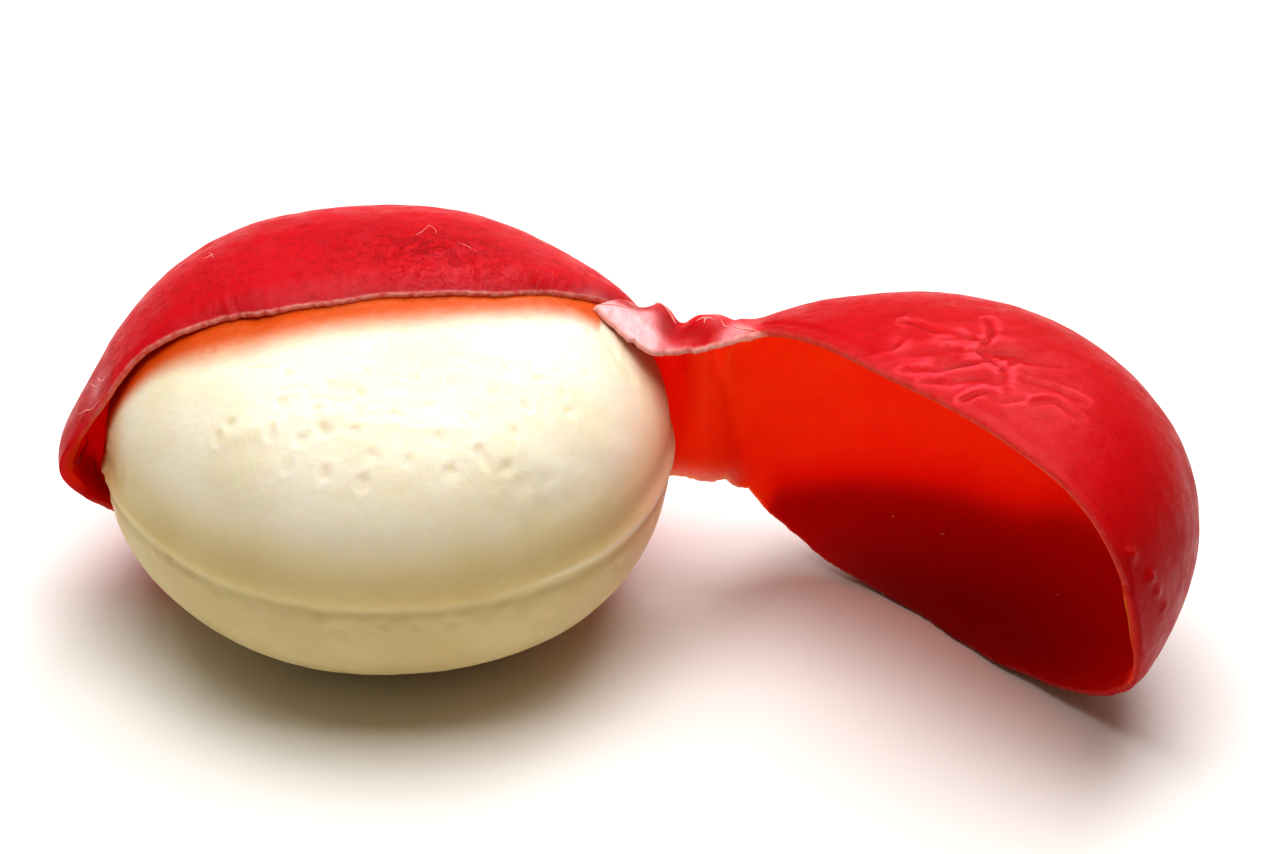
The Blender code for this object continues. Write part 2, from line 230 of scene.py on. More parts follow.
class Shader:
    """A material whose nodes are added one call at a time."""

    def __init__(self, name):
        self.material = bpy.data.materials.new(name)
        self.material.use_nodes = True
        self.tree = self.material.node_tree
        self.surface = self.tree.nodes["Principled BSDF"]
        self.place = self.tree.nodes.new("ShaderNodeTexCoord").outputs["Object"]

    def put(self, socket, value):
        if isinstance(value, bpy.types.NodeSocket):
            self.tree.links.new(value, socket)
        else:
            socket.default_value = value

    def set(self, name, value):
        self.put(self.surface.inputs[name], value)

    def noise(self, size, detail=3.0, rough=0.5, stretch=(1.0, 1.0, 1.0), turn=(0.0, 0.0, 0.0), warp=0.0):
        """Noise from about 0 to 1, with features of about size in mm."""
        mapping = self.tree.nodes.new("ShaderNodeMapping")
        self.put(mapping.inputs["Vector"], self.place)
        mapping.inputs["Rotation"].default_value = turn
        mapping.inputs["Scale"].default_value = [1 / (MM * size * s) for s in stretch]
        node = self.tree.nodes.new("ShaderNodeTexNoise")
        self.put(node.inputs["Vector"], mapping.outputs["Vector"])
        values = {"Scale": 1.0, "Detail": detail, "Roughness": rough, "Distortion": warp}
        for name, value in values.items():
            node.inputs[name].default_value = value
        return node.outputs["Fac"]

    def mark(self, name):
        node = self.tree.nodes.new("ShaderNodeAttribute")
        node.attribute_name = name
        return node.outputs["Fac"]

    def span(self, value, low, high, to_low=0.0, to_high=1.0):
        """value moved from the range low to high into another, smoothly and clamped."""
        node = self.tree.nodes.new("ShaderNodeMapRange")
        node.interpolation_type = "SMOOTHSTEP"
        self.put(node.inputs["Value"], value)
        for socket, number in zip(node.inputs[1:5], (low, high, to_low, to_high)):
            socket.default_value = number
        return node.outputs["Result"]

    def math(self, operation, first, second=0.0):
        node = self.tree.nodes.new("ShaderNodeMath")
        node.operation = operation
        self.put(node.inputs[0], first)
        self.put(node.inputs[1], second)
        return node.outputs["Value"]

    def times(self, first, second):
        return self.math("MULTIPLY", first, second)

    def mix(self, share, first, second):
        node = self.tree.nodes.new("ShaderNodeMix")
        node.data_type = "RGBA"
        self.put(node.inputs["Factor"], share)
        for name, colour in (("A", first), ("B", second)):
            socket = next(s for s in node.inputs if s.name == name and s.type == "RGBA")
            self.put(socket, colour if isinstance(colour, bpy.types.NodeSocket) else (*colour, 1.0))
        return next(s for s in node.outputs if s.type == "RGBA")

    def bump(self, height, distance, strength=1.0, under=None):
        node = self.tree.nodes.new("ShaderNodeBump")
        self.put(node.inputs["Height"], height)
        node.inputs["Distance"].default_value = distance * MM
        node.inputs["Strength"].default_value = strength
        if under is not None:
            self.put(node.inputs["Normal"], under)
        return node.outputs["Normal"]


# The cheese

# Dips beside the seam: height from it, width and depth in mm
SEAM_DIPS = [(-0.95, 0.5, 0.13), (1.3, 0.8, 0.10)]
SEAM_WANDER = 0.10 * MM
TOP_PIT_SIZE = 0.75  # share of the radius listed here that a pit in the top is made with
TOP_PIT_DEPTH = 0.6
WALL_PIT_DEPTH = 0.7
DEEPEST_TOP_PIT = 0.25  # mm
DEEPEST_WALL_PIT = 0.22
# Pits and dimples in the top face: (x, y, radius, depth) in mm
TOP_PITS = [
    (-8.5, -7.1, 0.5, 0.16), (-6.3, -8.1, 0.5, 0.2), (-3.5, -9.4, 0.6, 0.22), (-1.1, -8.3, 0.75, 0.24),
    (-1.2, -10.3, 0.55, 0.3), (2.0, -8.7, 0.5, 0.16), (4.5, -9.1, 0.5, 0.16), (7.9, -7.1, 0.45, 0.14),
    (10.1, -7.4, 0.55, 0.22), (11.8, -7.8, 0.5, 0.14), (7.1, -9.6, 0.55, 0.16), (6.0, -11.6, 0.6, 0.2),
    (9.4, -9.8, 0.55, 0.22), (8.6, -11.8, 0.55, 0.22), (12.1, -9.0, 0.5, 0.14), (-9.8, -11.0, 0.55, 0.26),
    (-10.6, -11.6, 0.5, 0.18), (-7.1, -12.3, 0.6, 0.22), (-4.2, -11.5, 0.6, 0.24), (-6.4, -10.5, 0.55, 0.2),
    (-5.1, -13.3, 0.6, 0.2), (-3.5, -12.9, 0.65, 0.2), (-1.6, -13.1, 0.6, 0.18), (-1.3, -11.8, 0.7, 0.26),
    (-3.4, -15.5, 0.6, 0.22), (-1.0, -16.1, 0.6, 0.2), (4.6, -15.2, 0.6, 0.2), (2.0, -14.9, 0.55, 0.14),
    (-0.4, -14.7, 0.6, 0.14), (8.1, -14.1, 0.5, 0.14), (6.5, -13.7, 0.55, 0.14), (-5.9, -14.6, 0.5, 0.14),
    (3.9, -13.5, 0.5, 0.14), (1.0, -12.0, 0.6, 0.2), (-11.5, -4.2, 0.45, 0.14), (5.5, -4.0, 0.4, 0.12),
    (0.4, -5.4, 0.45, 0.14), (3.3, -11.2, 0.5, 0.16), (-2.4, -6.4, 0.45, 0.14), (13.4, -5.2, 0.45, 0.12),
]
# Pits in the wall, most of them under the seam: (azimuth in degrees, height, radius, depth) in mm
WALL_PITS = [
    (-139, -0.9, 0.5, 0.14), (-132, -1.1, 0.55, 0.16), (-124.5, -1.4, 0.55, 0.18), (-116.5, -1.6, 0.5, 0.18),
    (-110, -1.5, 0.5, 0.16), (-102, -1.3, 0.65, 0.2), (-97.5, -2.6, 0.75, 0.2), (-89.2, -1.8, 0.5, 0.2),
    (-82.5, -1.9, 0.55, 0.2), (-75.8, -1.9, 0.6, 0.22), (-68.7, -1.6, 0.55, 0.18), (-60.7, -1.4, 0.6, 0.18),
    (-55.5, -3.6, 0.5, 0.14), (-49, -1.5, 0.5, 0.16), (-99.4, -6.3, 0.55, 0.16), (-146, -1.9, 0.6, 0.14),
    (-36, -2.2, 0.5, 0.14), (-20, -2.0, 0.5, 0.14), (-118, -4.4, 0.5, 0.12), (-80, -5.0, 0.5, 0.12),
    (-158, 1.9, 0.7, 0.12), (-150, 2.7, 0.6, 0.1), (-63, 5.3, 0.9, 0.14), (-54, 4.7, 0.9, 0.12),
    (20, -2.2, 0.5, 0.14), (48, -3.0, 0.55, 0.14), (75, -1.9, 0.5, 0.16), (104, -2.6, 0.5, 0.14),
    (131, -1.8, 0.55, 0.16), (158, -2.4, 0.5, 0.14),
]
CURD_CREASE_DEPTH = 0.5
# Creases in the top face where the curd folded: points (x, y) in mm, then width and depth in mm
CURD_CREASES = [
    ([(-0.7, -5.9), (4.0, -5.6), (8.0, -5.9), (13.0, -6.4)], 0.22, 0.06),
    ([(13.6, -1.2), (14.8, -1.6), (15.6, -2.6), (16.3, -3.0)], 0.30, 0.14),
    ([(-3.5, -8.6), (-1.5, -9.0), (0.6, -8.7), (2.2, -9.1)], 0.24, 0.12),
    ([(-4.6, -10.6), (-2.2, -10.9), (-0.4, -10.5)], 0.24, 0.14),
    ([(-1.8, -12.4), (0.8, -12.1), (3.0, -12.7)], 0.24, 0.12),
    ([(-7.6, -9.8), (-6.0, -9.4), (-4.9, -9.7)], 0.22, 0.12),
    ([(6.2, -13.8), (7.4, -14.4), (8.2, -14.0)], 0.30, 0.14),
    ([(7.6, -15.0), (9.4, -14.6), (10.8, -13.6)], 0.40, 0.14),
    ([(-8.8, -6.8), (-7.4, -7.2), (-6.2, -6.9)], 0.20, 0.10),
    ([(1.6, -7.4), (3.4, -7.9), (5.2, -7.6)], 0.20, 0.10),
]
# Shallow lumps where the curd lay unevenly: (x, y, z, spread along, across, up, rise) in mm
LUMPS = [
    (-1.0, -9.2, 10.8, 3.4, 0.6, 2.5, 0.14), (-2.6, -11.9, 10.0, 2.6, 0.6, 2.5, 0.16),
    (0.6, -10.6, 10.4, 2.4, 0.5, 2.5, 0.14), (-5.0, -9.4, 10.5, 2.2, 0.6, 2.5, 0.10),
    (3.6, -12.6, 9.4, 2.8, 0.6, 2.5, 0.12), (7.4, -8.4, 10.2, 2.8, 0.6, 2.5, 0.10),
    (5.0, -6.0, 11.0, 3.6, 0.5, 2.5, 0.08), (-8.4, -12.0, 8.4, 2.2, 0.6, 2.5, 0.12),
    (9.6, -12.6, 7.8, 2.6, 0.9, 2.0, 0.12), (13.6, -9.6, 6.5, 3.0, 1.2, 2.0, 0.16),
    (-16.4, -7.2, 4.6, 2.0, 4.0, 2.4, 0.16), (-9.6, -14.8, 4.6, 4.6, 3.0, 1.3, -0.16),
    (0.0, -18.0, 3.6, 7.0, 3.0, 1.4, -0.14), (10.0, -15.4, 4.4, 3.6, 3.0, 1.2, -0.14),
]
PUCK_WAVES = 0.16 * MM
CURD_WAVES = 0.085 * MM
CURD_GRAIN = 0.036 * MM
# Crumbs along the left border, under the ear: middle and spread in mm
BURR_PLACE = (-18.8, -5.0, 0.5)
BURR_SPREAD = (0.9, 6.0, 5.0)
BURR_RISE = 0.22 * MM
EDGE_RISE = 0.10 * MM  # of the cheese along the wax's rear edge
EDGE_RISE_REACH = 1.2  # mm

# How far the painted orange light, standing in for light through the red wax, reaches in front of the wax's
# edge: (x, reach) in mm
PAINTED_WAX_LIGHT_WIDTHS = [
    (-19.5, 1.0), (-15.0, 2.4), (-12.0, 3.8), (-8.5, 4.1), (-4.0, 3.9), (0.0, 3.8), (4.0, 3.5),
    (9.0, 3.1), (14.0, 2.8),
]
PAINTED_WAX_LIGHT_FULL = 0.2  # share of that reach in which the painted light is full
# More of the painted light beside the ear and the neck: (x, y, z, spread along x, y and z, strength) in mm
PAINTED_WAX_LIGHT_SPOTS = [(-18.6, -5.4, 1.0, 1.0, 4.5, 5.0, 0.22), (18.2, 1.0, 5.6, 1.3, 3.4, 3.4, 0.34)]
# The right side, with painted peach light bounced from the open half's red wax, in the same order
PAINTED_BOUNCE_SPOTS = [(18.8, -4.5, 0.0, 3.6, 8.0, 9.0, 1.0)]
WALL_SHADE_TOP = 5.7  # mm above the middle, where the painted shade on the wall starts
WALL_SHADE_FADE = 4.6
SEAM_HIGHLIGHT_START = 6.0  # x in mm
SEAM_HIGHLIGHT_FADE = 8.0


def cheese_grid():
    """The puck's own points, in rings from pole to pole, and their outward directions."""
    level = np.linspace(-1.0, 1.0, 2 * CHEESE_RINGS + 1)
    angle = math.pi / 2 * (1 - level)
    sine, cosine = np.sin(angle), np.cos(angle)
    radius = CHEESE_RADIUS * np.clip(sine, 0.0, 1.0) ** (2 / RIM_POWER)
    height = CHEESE_HALF_HEIGHT * np.sign(cosine) * np.abs(cosine) ** (2 / FACE_POWER)
    run = np.concatenate([[0.0], np.cumsum(np.hypot(np.diff(radius), np.diff(height)))])
    stops = np.linspace(0.0, run[-1], 2 * CHEESE_RINGS + 1)
    radius, height = np.interp(stops, run, radius), np.interp(stops, run, height)
    turn = np.linspace(0.0, 2 * math.pi, CHEESE_TURNS, endpoint=False)
    points = np.stack(np.broadcast_arrays(
        radius[:, None] * np.cos(turn), radius[:, None] * np.sin(turn), height[:, None]
    ), axis=-1)
    slope_r, slope_z = np.gradient(radius), np.gradient(height)
    length = np.hypot(slope_r, slope_z)
    out_r, out_z = slope_z / length, -slope_r / length
    outward = np.stack(np.broadcast_arrays(
        out_r[:, None] * np.cos(turn), out_r[:, None] * np.sin(turn), out_z[:, None]
    ), axis=-1)
    return points, outward


def pit_shape(distance):
    """Depth across a pit: 1 in its middle, with a soft raised lip."""
    return np.exp(-(distance**2) * 1.6) - 0.22 * np.exp(-((distance - 1.5) ** 2) * 4.0)


def cheese_relief(points):
    """Rise of the cheese's surface in metres, and how deep in a pit each point is."""
    flat = points.reshape(-1, 3)
    azimuth = np.degrees(np.arctan2(flat[:, 1], flat[:, 0]))
    radius = np.hypot(flat[:, 0], flat[:, 1])
    rise = np.zeros(len(flat))
    pits = np.zeros(len(flat))
    warped = warp(flat, 0.3, 0.9)
    seam_height = flat[:, 2] - SEAM_WANDER * field(flat, 7.0)
    rise += SEAM_RISE * bell(seam_height / SEAM_WIDTH)
    for height, width, depth in SEAM_DIPS:
        rise -= depth * MM * bell((seam_height - height * MM) / (width * MM))
    for x, y, size, depth in TOP_PITS:
        away = np.hypot(warped[:, 0] - x * MM, warped[:, 1] - y * MM)
        shape = pit_shape(away / (TOP_PIT_SIZE * size * MM)) * (flat[:, 2] > 0)
        rise -= TOP_PIT_DEPTH * depth * MM * shape
        pits = np.maximum(pits, shape * depth / DEEPEST_TOP_PIT)
    for middle, height, size, depth in WALL_PITS:
        across = np.radians((azimuth - middle + 180) % 360 - 180) * radius
        away = np.hypot(across, warped[:, 2] - height * MM)
        shape = pit_shape(away / (size * MM)) * (radius > CHEESE_RADIUS / 2)
        rise -= WALL_PIT_DEPTH * depth * MM * shape
        pits = np.maximum(pits, shape * depth / DEEPEST_WALL_PIT)
    for line, width, depth in CURD_CREASES:
        crease = crease_depth(warped, line, width) * (flat[:, 2] > 0)
        rise -= CURD_CREASE_DEPTH * depth * MM * crease
    for x, y, z, along, across, up, height in LUMPS:
        rise += height * MM * spot(flat, (x, y, z), (along, across, up))
    top = ease((flat[:, 2] / MM - 5.0) / 4.0) * ease((16.0 * MM - radius) / (5.0 * MM))
    curdy = np.maximum(top, ease((-flat[:, 2] / MM - 6.0) / 4.0))
    uneven = field(flat, 3.2, (1.7, 1.0, 1.0)) + 0.6 * field(flat, 1.5, (1.8, 0.9, 1.0), 7.0)
    rise += CURD_WAVES * uneven * (0.35 + 0.65 * curdy)
    rise += CURD_GRAIN * field(flat, 0.62, (1.4, 1.0, 1.0), 3.0) * (0.3 + 0.7 * curdy)
    rise += PUCK_WAVES * field(flat, 8.5, shift=11.0)
    burr = spot(flat, BURR_PLACE, BURR_SPREAD)
    rise += BURR_RISE * burr * np.maximum(field(flat, 0.7, (1.0, 1.0, 0.8), 5.0), 0.0)
    return rise.reshape(points.shape[:-1]), np.clip(pits, 0.0, 1.0).reshape(points.shape[:-1])


def tear_depth(points, tear):
    """How far, in mm, points of the top face lie in front of a tear."""
    known = np.array(sorted((x, y) for azimuth, x, y in tear))
    return np.interp(points[..., 0] / MM, known[:, 0], known[:, 1]) - points[..., 1] / MM


def cheese_marks(points, pits, ahead):
    """Where the cheese is pitted, and where light and shade are painted on it: light from the red wax, shade
    low on its sides and in its pits, a highlight along its middle ridge; for each of its points.
    """
    widths = np.array(PAINTED_WAX_LIGHT_WIDTHS)
    width = np.interp(points[..., 0] / MM, widths[:, 0], widths[:, 1])
    painted_wax_light = ease(1 + PAINTED_WAX_LIGHT_FULL - ahead / width) * (points[..., 2] > 0)
    painted_wax_light = np.maximum(painted_wax_light, spots(points, PAINTED_WAX_LIGHT_SPOTS))
    right = ease((points[..., 0] / MM - SEAM_HIGHLIGHT_START) / SEAM_HIGHLIGHT_FADE)
    return {
        "pit": pits,
        "painted_wax_light": painted_wax_light,
        "painted_wall_shade": ease((WALL_SHADE_TOP - points[..., 2] / MM) / WALL_SHADE_FADE),
        "painted_red_bounce": spots(points, PAINTED_BOUNCE_SPOTS),
        "painted_seam_highlight": bell(points[..., 2] / SEAM_HIGHLIGHT_WIDTH) * right * (points[..., 1] < 0),
    }


def cheese_faces(rings):
    """Quads between the rings, and a fan at each pole, which are the first and last points."""
    faces = []
    for ring in range(rings - 1):
        start = 1 + ring * CHEESE_TURNS
        for k in range(CHEESE_TURNS):
            after = (k + 1) % CHEESE_TURNS
            near, far = start, start + CHEESE_TURNS
            faces.append((near + k, near + after, far + after, far + k))
    last = 1 + (rings - 1) * CHEESE_TURNS
    for k in range(CHEESE_TURNS):
        after = (k + 1) % CHEESE_TURNS
        faces.append((0, 1 + after, 1 + k))
        faces.append((last + k, last + after, last + CHEESE_TURNS))
    return faces


def build_cheese(material):
    points, outward = cheese_grid()
    rise, pits = cheese_relief(points)
    ahead = tear_depth(points, REAR_TOP_TEAR) + REAR_TEAR_BACK
    rise = np.where(ahead < 0, np.minimum(rise, WAX_GAP / 2), rise)
    rise = rise + EDGE_RISE * bell(ahead / EDGE_RISE_REACH) * (points[..., 2] > 0)
    placed = swell(points + outward * rise[..., None]) + [0.0, 0.0, PUCK_CENTRE_HEIGHT]
    poles = placed[[0, -1]].mean(axis=1)
    vertices = np.vstack([poles[:1], placed[1:-1].reshape(-1, 3), poles[1:]])
    marks = {}
    for name, values in cheese_marks(points, pits, ahead).items():
        marks[name] = np.concatenate([[values[0].mean()], values[1:-1].ravel(), [values[-1].mean()]])
    return object_from("bare_cheese", vertices, cheese_faces(len(points) - 2), marks, material)


def cheese_material():
    s = Shader("pressed_cheese")
    cloud = s.noise(7.0, detail=4.0, rough=0.55)
    colour = s.mix(s.span(cloud, 0.35, 0.68), (0.86, 0.82, 0.71), (0.82, 0.77, 0.60))
    fleck = s.noise(1.6, detail=5.0, rough=0.6)
    colour = s.mix(s.span(fleck, 0.50, 0.74, 0.0, 0.30), colour, (0.78, 0.72, 0.54))
    # Painted shade: the wall below the top is given a darker, warmer tan
    painted_wall_shade = s.mix(s.span(cloud, 0.35, 0.68), (0.72, 0.61, 0.35), (0.68, 0.56, 0.30))
    colour = s.mix(s.mark("painted_wall_shade"), colour, painted_wall_shade)
    # Painted light: peach bounced from the open half's red wax onto the cheese's right side
    colour = s.mix(s.times(s.mark("painted_red_bounce"), 0.85), colour, (0.96, 0.68, 0.50))
    # Painted highlight: a light line along the seam's right
    colour = s.mix(s.times(s.mark("painted_seam_highlight"), 0.5), colour, (0.97, 0.94, 0.86))
    # Painted shade: the pits are made a darker yellow
    colour = s.mix(s.times(s.mark("pit"), 0.22), colour, (0.80, 0.70, 0.42))
    # Painted light: orange from light through the red wax, laid on the cheese in front of the wax's edge
    colour = s.mix(s.mark("painted_wax_light"), colour, (0.62, 0.105, 0.005))
    s.set("Base Color", colour)
    gloss = s.noise(1.6, detail=4.0, rough=0.6)
    s.set("Roughness", s.span(gloss, 0.3, 0.7, 0.34, 0.52))
    grain = s.bump(s.noise(0.35, detail=4.0, rough=0.6), 0.05, 0.5)
    s.set("Normal", s.bump(s.noise(1.1, detail=3.0), 0.12, 0.45, under=grain))
    s.surface.subsurface_method = "RANDOM_WALK"
    s.set("Subsurface Weight", 0.65)
    s.set("Subsurface Radius", (1.0, 0.70, 0.32))
    s.set("Subsurface Scale", 1.6 * MM)
    s.set("IOR", 1.42)
    return s.material


# The wax, as one closed skin


def tear_points(tear, azimuths, phase, back, rough):
    """(x, y) of a tear where it faces the rim at each azimuth, with its fine rags."""
    degrees = np.degrees(azimuths)
    known = np.array(tear)[::-1]
    known[:, 2] += back * ease((known[-1, 0] - known[:, 0]) / BACK_FADE)
    steps = np.diff(known[:, 1:], axis=0) / np.diff(known[:, 0])[:, None]
    before, after = steps[:-1], steps[1:]
    same_way = before * after > 0
    total = np.where(same_way, before + after, 1.0)
    slopes = np.zeros((len(known), 2))
    slopes[1:-1] = np.where(same_way, 2 * before * after / total, 0.0)
    slopes[0], slopes[-1] = steps[0], steps[-1]
    span = np.clip(np.searchsorted(known[:, 0], degrees) - 1, 0, len(known) - 2)
    width = (known[span + 1, 0] - known[span, 0])[:, None]
    t = (degrees[:, None] - known[span, :1]) / width
    leave, arrive = slopes[span] * width, slopes[span + 1] * width
    curve = hermite(known[span, 1:], known[span + 1, 1:], leave, arrive, t) * MM
    slow, quick = (curve[:, 0] / length for length in TEAR_WAVELENGTHS)
    wave = np.sin(slow + phase) + 0.6 * np.sin(quick + 2 * phase)
    from_ends = np.minimum(degrees - known[0, 0], known[-1, 0] - degrees)
    from_ends = np.minimum(from_ends / CALM_ENDS, 1.0)
    run = run_along(curve)
    along = np.stack([run, np.full(len(run), phase), np.zeros(len(run))], axis=-1)
    rags = field(along, TEAR_RAG_SIZES[0]) + 0.5 * field(along, TEAR_RAG_SIZES[1], shift=5.0)
    rags *= ease(0.75 + field(along, RAGGED_STRETCH, shift=9.0))
    curve[:, 1] += rough * (TEAR_WAVE * wave * from_ends + TEAR_RAGS * rags * ease(from_ends * 3.0))
    return curve


def skin_points(plan, side, offset):
    share = np.clip(np.hypot(plan[:, 0], plan[:, 1]) / MIDDLE_RADIUS, 0.0, 1.0)
    height = (CHEESE_HALF_HEIGHT + offset) * (1 - share**RIM_POWER) ** (1 / FACE_POWER)
    spread = (CHEESE_RADIUS + offset) / MIDDLE_RADIUS
    return np.column_stack([plan * spread, side * height])


def section_stops(length):
    rim = np.array(RIM_STOPS) * MM
    middle = np.linspace(rim[-1], length - rim[-1], MIDDLE_POINTS + 2)[1:-1]
    return np.concatenate([rim, middle, length - rim[::-1]])


def evenly(points, measured):
    run = run_along(measured)
    stops = section_stops(run[-1])
    return np.column_stack([np.interp(stops, run, points[:, k]) for k in range(points.shape[1])]), stops


def two_faces(centre, across, stops):
    from_edge = np.minimum(stops, stops[-1] - stops)
    share = TORN_THICKNESS + (1 - TORN_THICKNESS) * ease(from_edge / TORN_TAPER)
    rounding = np.sqrt(1 - (1 - np.clip(from_edge / TORN_ROUND, 0.0, 1.0)) ** 2)
    half = (WAX_THICKNESS / 2 * share * (TORN_TIP + (1 - TORN_TIP) * rounding))[:, None]
    return np.array([centre - across * half, centre + across * half])


def closed_section(azimuth, top_end, bottom_end):
    rim = MIDDLE_RADIUS * np.array([math.cos(azimuth), math.sin(azimuth)])
    outward = 1 - (1 - np.linspace(0.0, 1.0, CURVE_SAMPLES)) ** 3
    top = top_end + outward[:, None] * (rim - top_end)
    bottom = bottom_end + outward[::-1, None] * (rim - bottom_end)
    plan = np.vstack([top, bottom[1:]])
    side = np.concatenate([np.ones(CURVE_SAMPLES), -np.ones(CURVE_SAMPLES - 1)])
    measured = skin_points(plan, side, WAX_MIDDLE)
    inner, stops = evenly(skin_points(plan, side, WAX_INSIDE), measured)
    outer, stops = evenly(skin_points(plan, side, WAX_OUTSIDE), measured)
    return two_faces((inner + outer) / 2, (outer - inner) / WAX_THICKNESS, stops)


def half_sections(top_tear, bottom_tear, side, back, rough):
    start, end = math.radians(top_tear[0][0]), math.radians(top_tear[-1][0])
    left = 1 - np.arange(SIDE_SECTIONS) / (SIDE_SECTIONS - 1)
    azimuths = end + (start - end) * (0.7 * left + 0.3 * left**2)
    top_ends = tear_points(top_tear, azimuths, 1.0, back, rough)
    bottom_ends = tear_points(bottom_tear, azimuths, 2.3, 0.0, BOTTOM_ROUGHNESS)
    return np.array([closed_section(side * a, t, b) for a, t, b in zip(azimuths, top_ends, bottom_ends)])


# The open wax


def way_across(sections):
    """The way along each section's middle from its top edge, in metres."""
    steps = np.linalg.norm(np.diff(sections.mean(axis=1), axis=1), axis=-1)
    return np.concatenate([np.zeros((len(steps), 1)), steps.cumsum(axis=1)], axis=1)


def press_down(sections):
    """The rear half's top edge pressed onto the cheese, so that it shows no gap there."""
    outward = unit(sections[:, 1] - sections[:, 0])
    along = np.linspace(0.0, 1.0, len(sections))[:, None]
    pressed = ease((along - REAR_SINK_START) / REAR_SINK_GROWTH)
    sink = REAR_EDGE_SINK * (1 - ease(way_across(sections) / REAR_SINK_REACH)) * pressed
    kernel = np.hanning(SINK_SMOOTHING + 2)[1:-1]
    padded = np.pad(sink, ((SINK_SMOOTHING // 2, SINK_SMOOTHING // 2), (0, 0)), mode="edge")
    sink = np.array([np.convolve(column, kernel / kernel.sum(), "valid") for column in padded.T]).T
    return sections - (outward * sink[..., None])[:, None]


def flare_ear(points):
    azimuth = np.arctan2(points[..., 1], points[..., 0]) % (2 * math.pi)
    behind = azimuth < 1.5 * math.pi
    above = points[..., 2] - EAR_HEIGHT
    fade = bell(above / np.where(above > 0, EAR_RISE, EAR_DROP))
    flare = EAR_FLARE * fade * ease((azimuth - EAR_START) / (EAR_END - EAR_START))
    return points + outward_at(azimuth) * np.where(behind, flare, 0.0)[..., None]


def dent_front(points):
    azimuth = np.arctan2(points[..., 1], points[..., 0])
    rise = np.zeros(azimuth.shape)
    for middle, height, push, along, up in FRONT_DENTS:
        away = (azimuth - math.radians(middle)) * CHEESE_RADIUS / (along * MM)
        above = (points[..., 2] - height * MM) / (up * MM)
        rise += push * MM * bell(away) * bell(above)
    return points + outward_at(azimuth) * rise[..., None]


def open_turn():
    tip = Euler((OPEN_TIP_FORWARD, 0.0, 0.0)).to_matrix()
    lean = Euler((0.0, OPEN_TIP_SIDEWAYS, 0.0)).to_matrix()
    return np.array(lean @ tip @ Matrix.Rotation(OPEN_ANGLE, 3, "Z"))


def swing(points, turn):
    hinge = np.array([CHEESE_RADIUS + WAX_OUTSIDE, 0.0, 0.0])
    return (points - hinge) @ turn.T + hinge + np.array(NECK_SHIFT)


def sideways(points):
    return np.stack([points[..., 1], -points[..., 0], np.zeros(points.shape[:-1])], axis=-1)


def neck_section(outline):
    known = np.array(outline) * MM
    fine = np.linspace(0, len(known) - 1, CURVE_SAMPLES)
    slopes = np.gradient(known, axis=0)
    span = np.minimum(fine.astype(int), len(known) - 2)
    t = (fine - span)[:, None]
    curve = hermite(known[span], known[span + 1], slopes[span], slopes[span + 1], t)
    centre, stops = evenly(curve, curve)
    across = np.cross(np.gradient(centre, axis=0), [-1.0, 0.0, 0.0])
    return two_faces(centre, unit(across), stops)


def bend_neck(rear_end, front_end, turn):
    outlines = (NECK_AT_CHEESE, NECK_CREASE, NECK_NARROWEST, NECK_AT_FRONT)
    known = [rear_end, *[neck_section(outline) for outline in outlines], swing(front_end, turn)]
    spans = len(known) - 1
    slopes = [sideways(rear_end) * NECK_ENTRY / spans]
    slopes += [(known[k + 1] - known[k - 1]) / 2 for k in range(1, spans)]
    slopes.append(sideways(front_end) @ turn.T * NECK_ENTRY / spans)
    made = []
    for step in range(1, NECK_SECTIONS + 1):
        way = spans * step / (NECK_SECTIONS + 1)
        span = min(int(way), spans - 1)
        made.append(hermite(known[span], known[span + 1], slopes[span], slopes[span + 1], way - span))
    return np.array(made)


def wax_sections():
    rear = half_sections(REAR_TOP_TEAR, REAR_BOTTOM_TEAR, 1, REAR_TEAR_BACK, REAR_TOP_ROUGHNESS)
    rear = flare_ear(swell(press_down(rear)))
    tears = FRONT_TOP_TEAR, FRONT_BOTTOM_TEAR
    front = dent_front(half_sections(*tears, -1, -FRONT_TEAR_BACK, FRONT_TOP_ROUGHNESS))
    turn = open_turn()
    neck = bend_neck(rear[-1], front[-1], turn)
    return np.concatenate([rear, neck, swing(front[::-1], turn)])


# Creases pressed into the open half's outside: points (x, y) in mm, then width and depth in mm
CREASES = [
    ([(39.7, -3.6), (39.8, -5.9), (39.2, -7.3), (39.0, -8.5), (39.5, -9.3), (40.3, -10.3)], 0.24, 0.15),
    ([(40.3, -10.3), (40.2, -11.6), (40.4, -13.0)], 0.22, 0.12),
    ([(40.3, -10.3), (41.1, -9.3)], 0.22, 0.12),
    ([(34.2, -3.6), (36.1, -5.2), (37.7, -5.8), (39.3, -6.9)], 0.24, 0.12),
    ([(31.0, -7.0), (33.3, -7.1), (34.0, -6.0)], 0.22, 0.09),
    ([(34.0, -9.5), (35.9, -10.2), (37.6, -9.6), (39.2, -9.3)], 0.26, 0.11),
    ([(35.2, -11.0), (36.8, -11.6), (38.5, -11.1), (39.7, -11.9)], 0.26, 0.12),
    ([(37.6, -13.3), (39.0, -12.6), (40.0, -13.5), (41.3, -13.3)], 0.26, 0.12),
    ([(36.8, -7.4), (38.0, -8.1), (39.0, -8.0)], 0.24, 0.10),
    ([(41.6, -11.2), (43.4, -11.6), (45.4, -12.4)], 0.30, 0.09),
    ([(42.0, -13.6), (43.6, -13.2), (45.0, -14.2)], 0.30, 0.09),
]
DEEPEST_CREASE = 0.15  # mm
CREASE_DEPTH = 1.3
CREASE_WARP = 0.35  # share of the crumpled part's warping that the creases take on
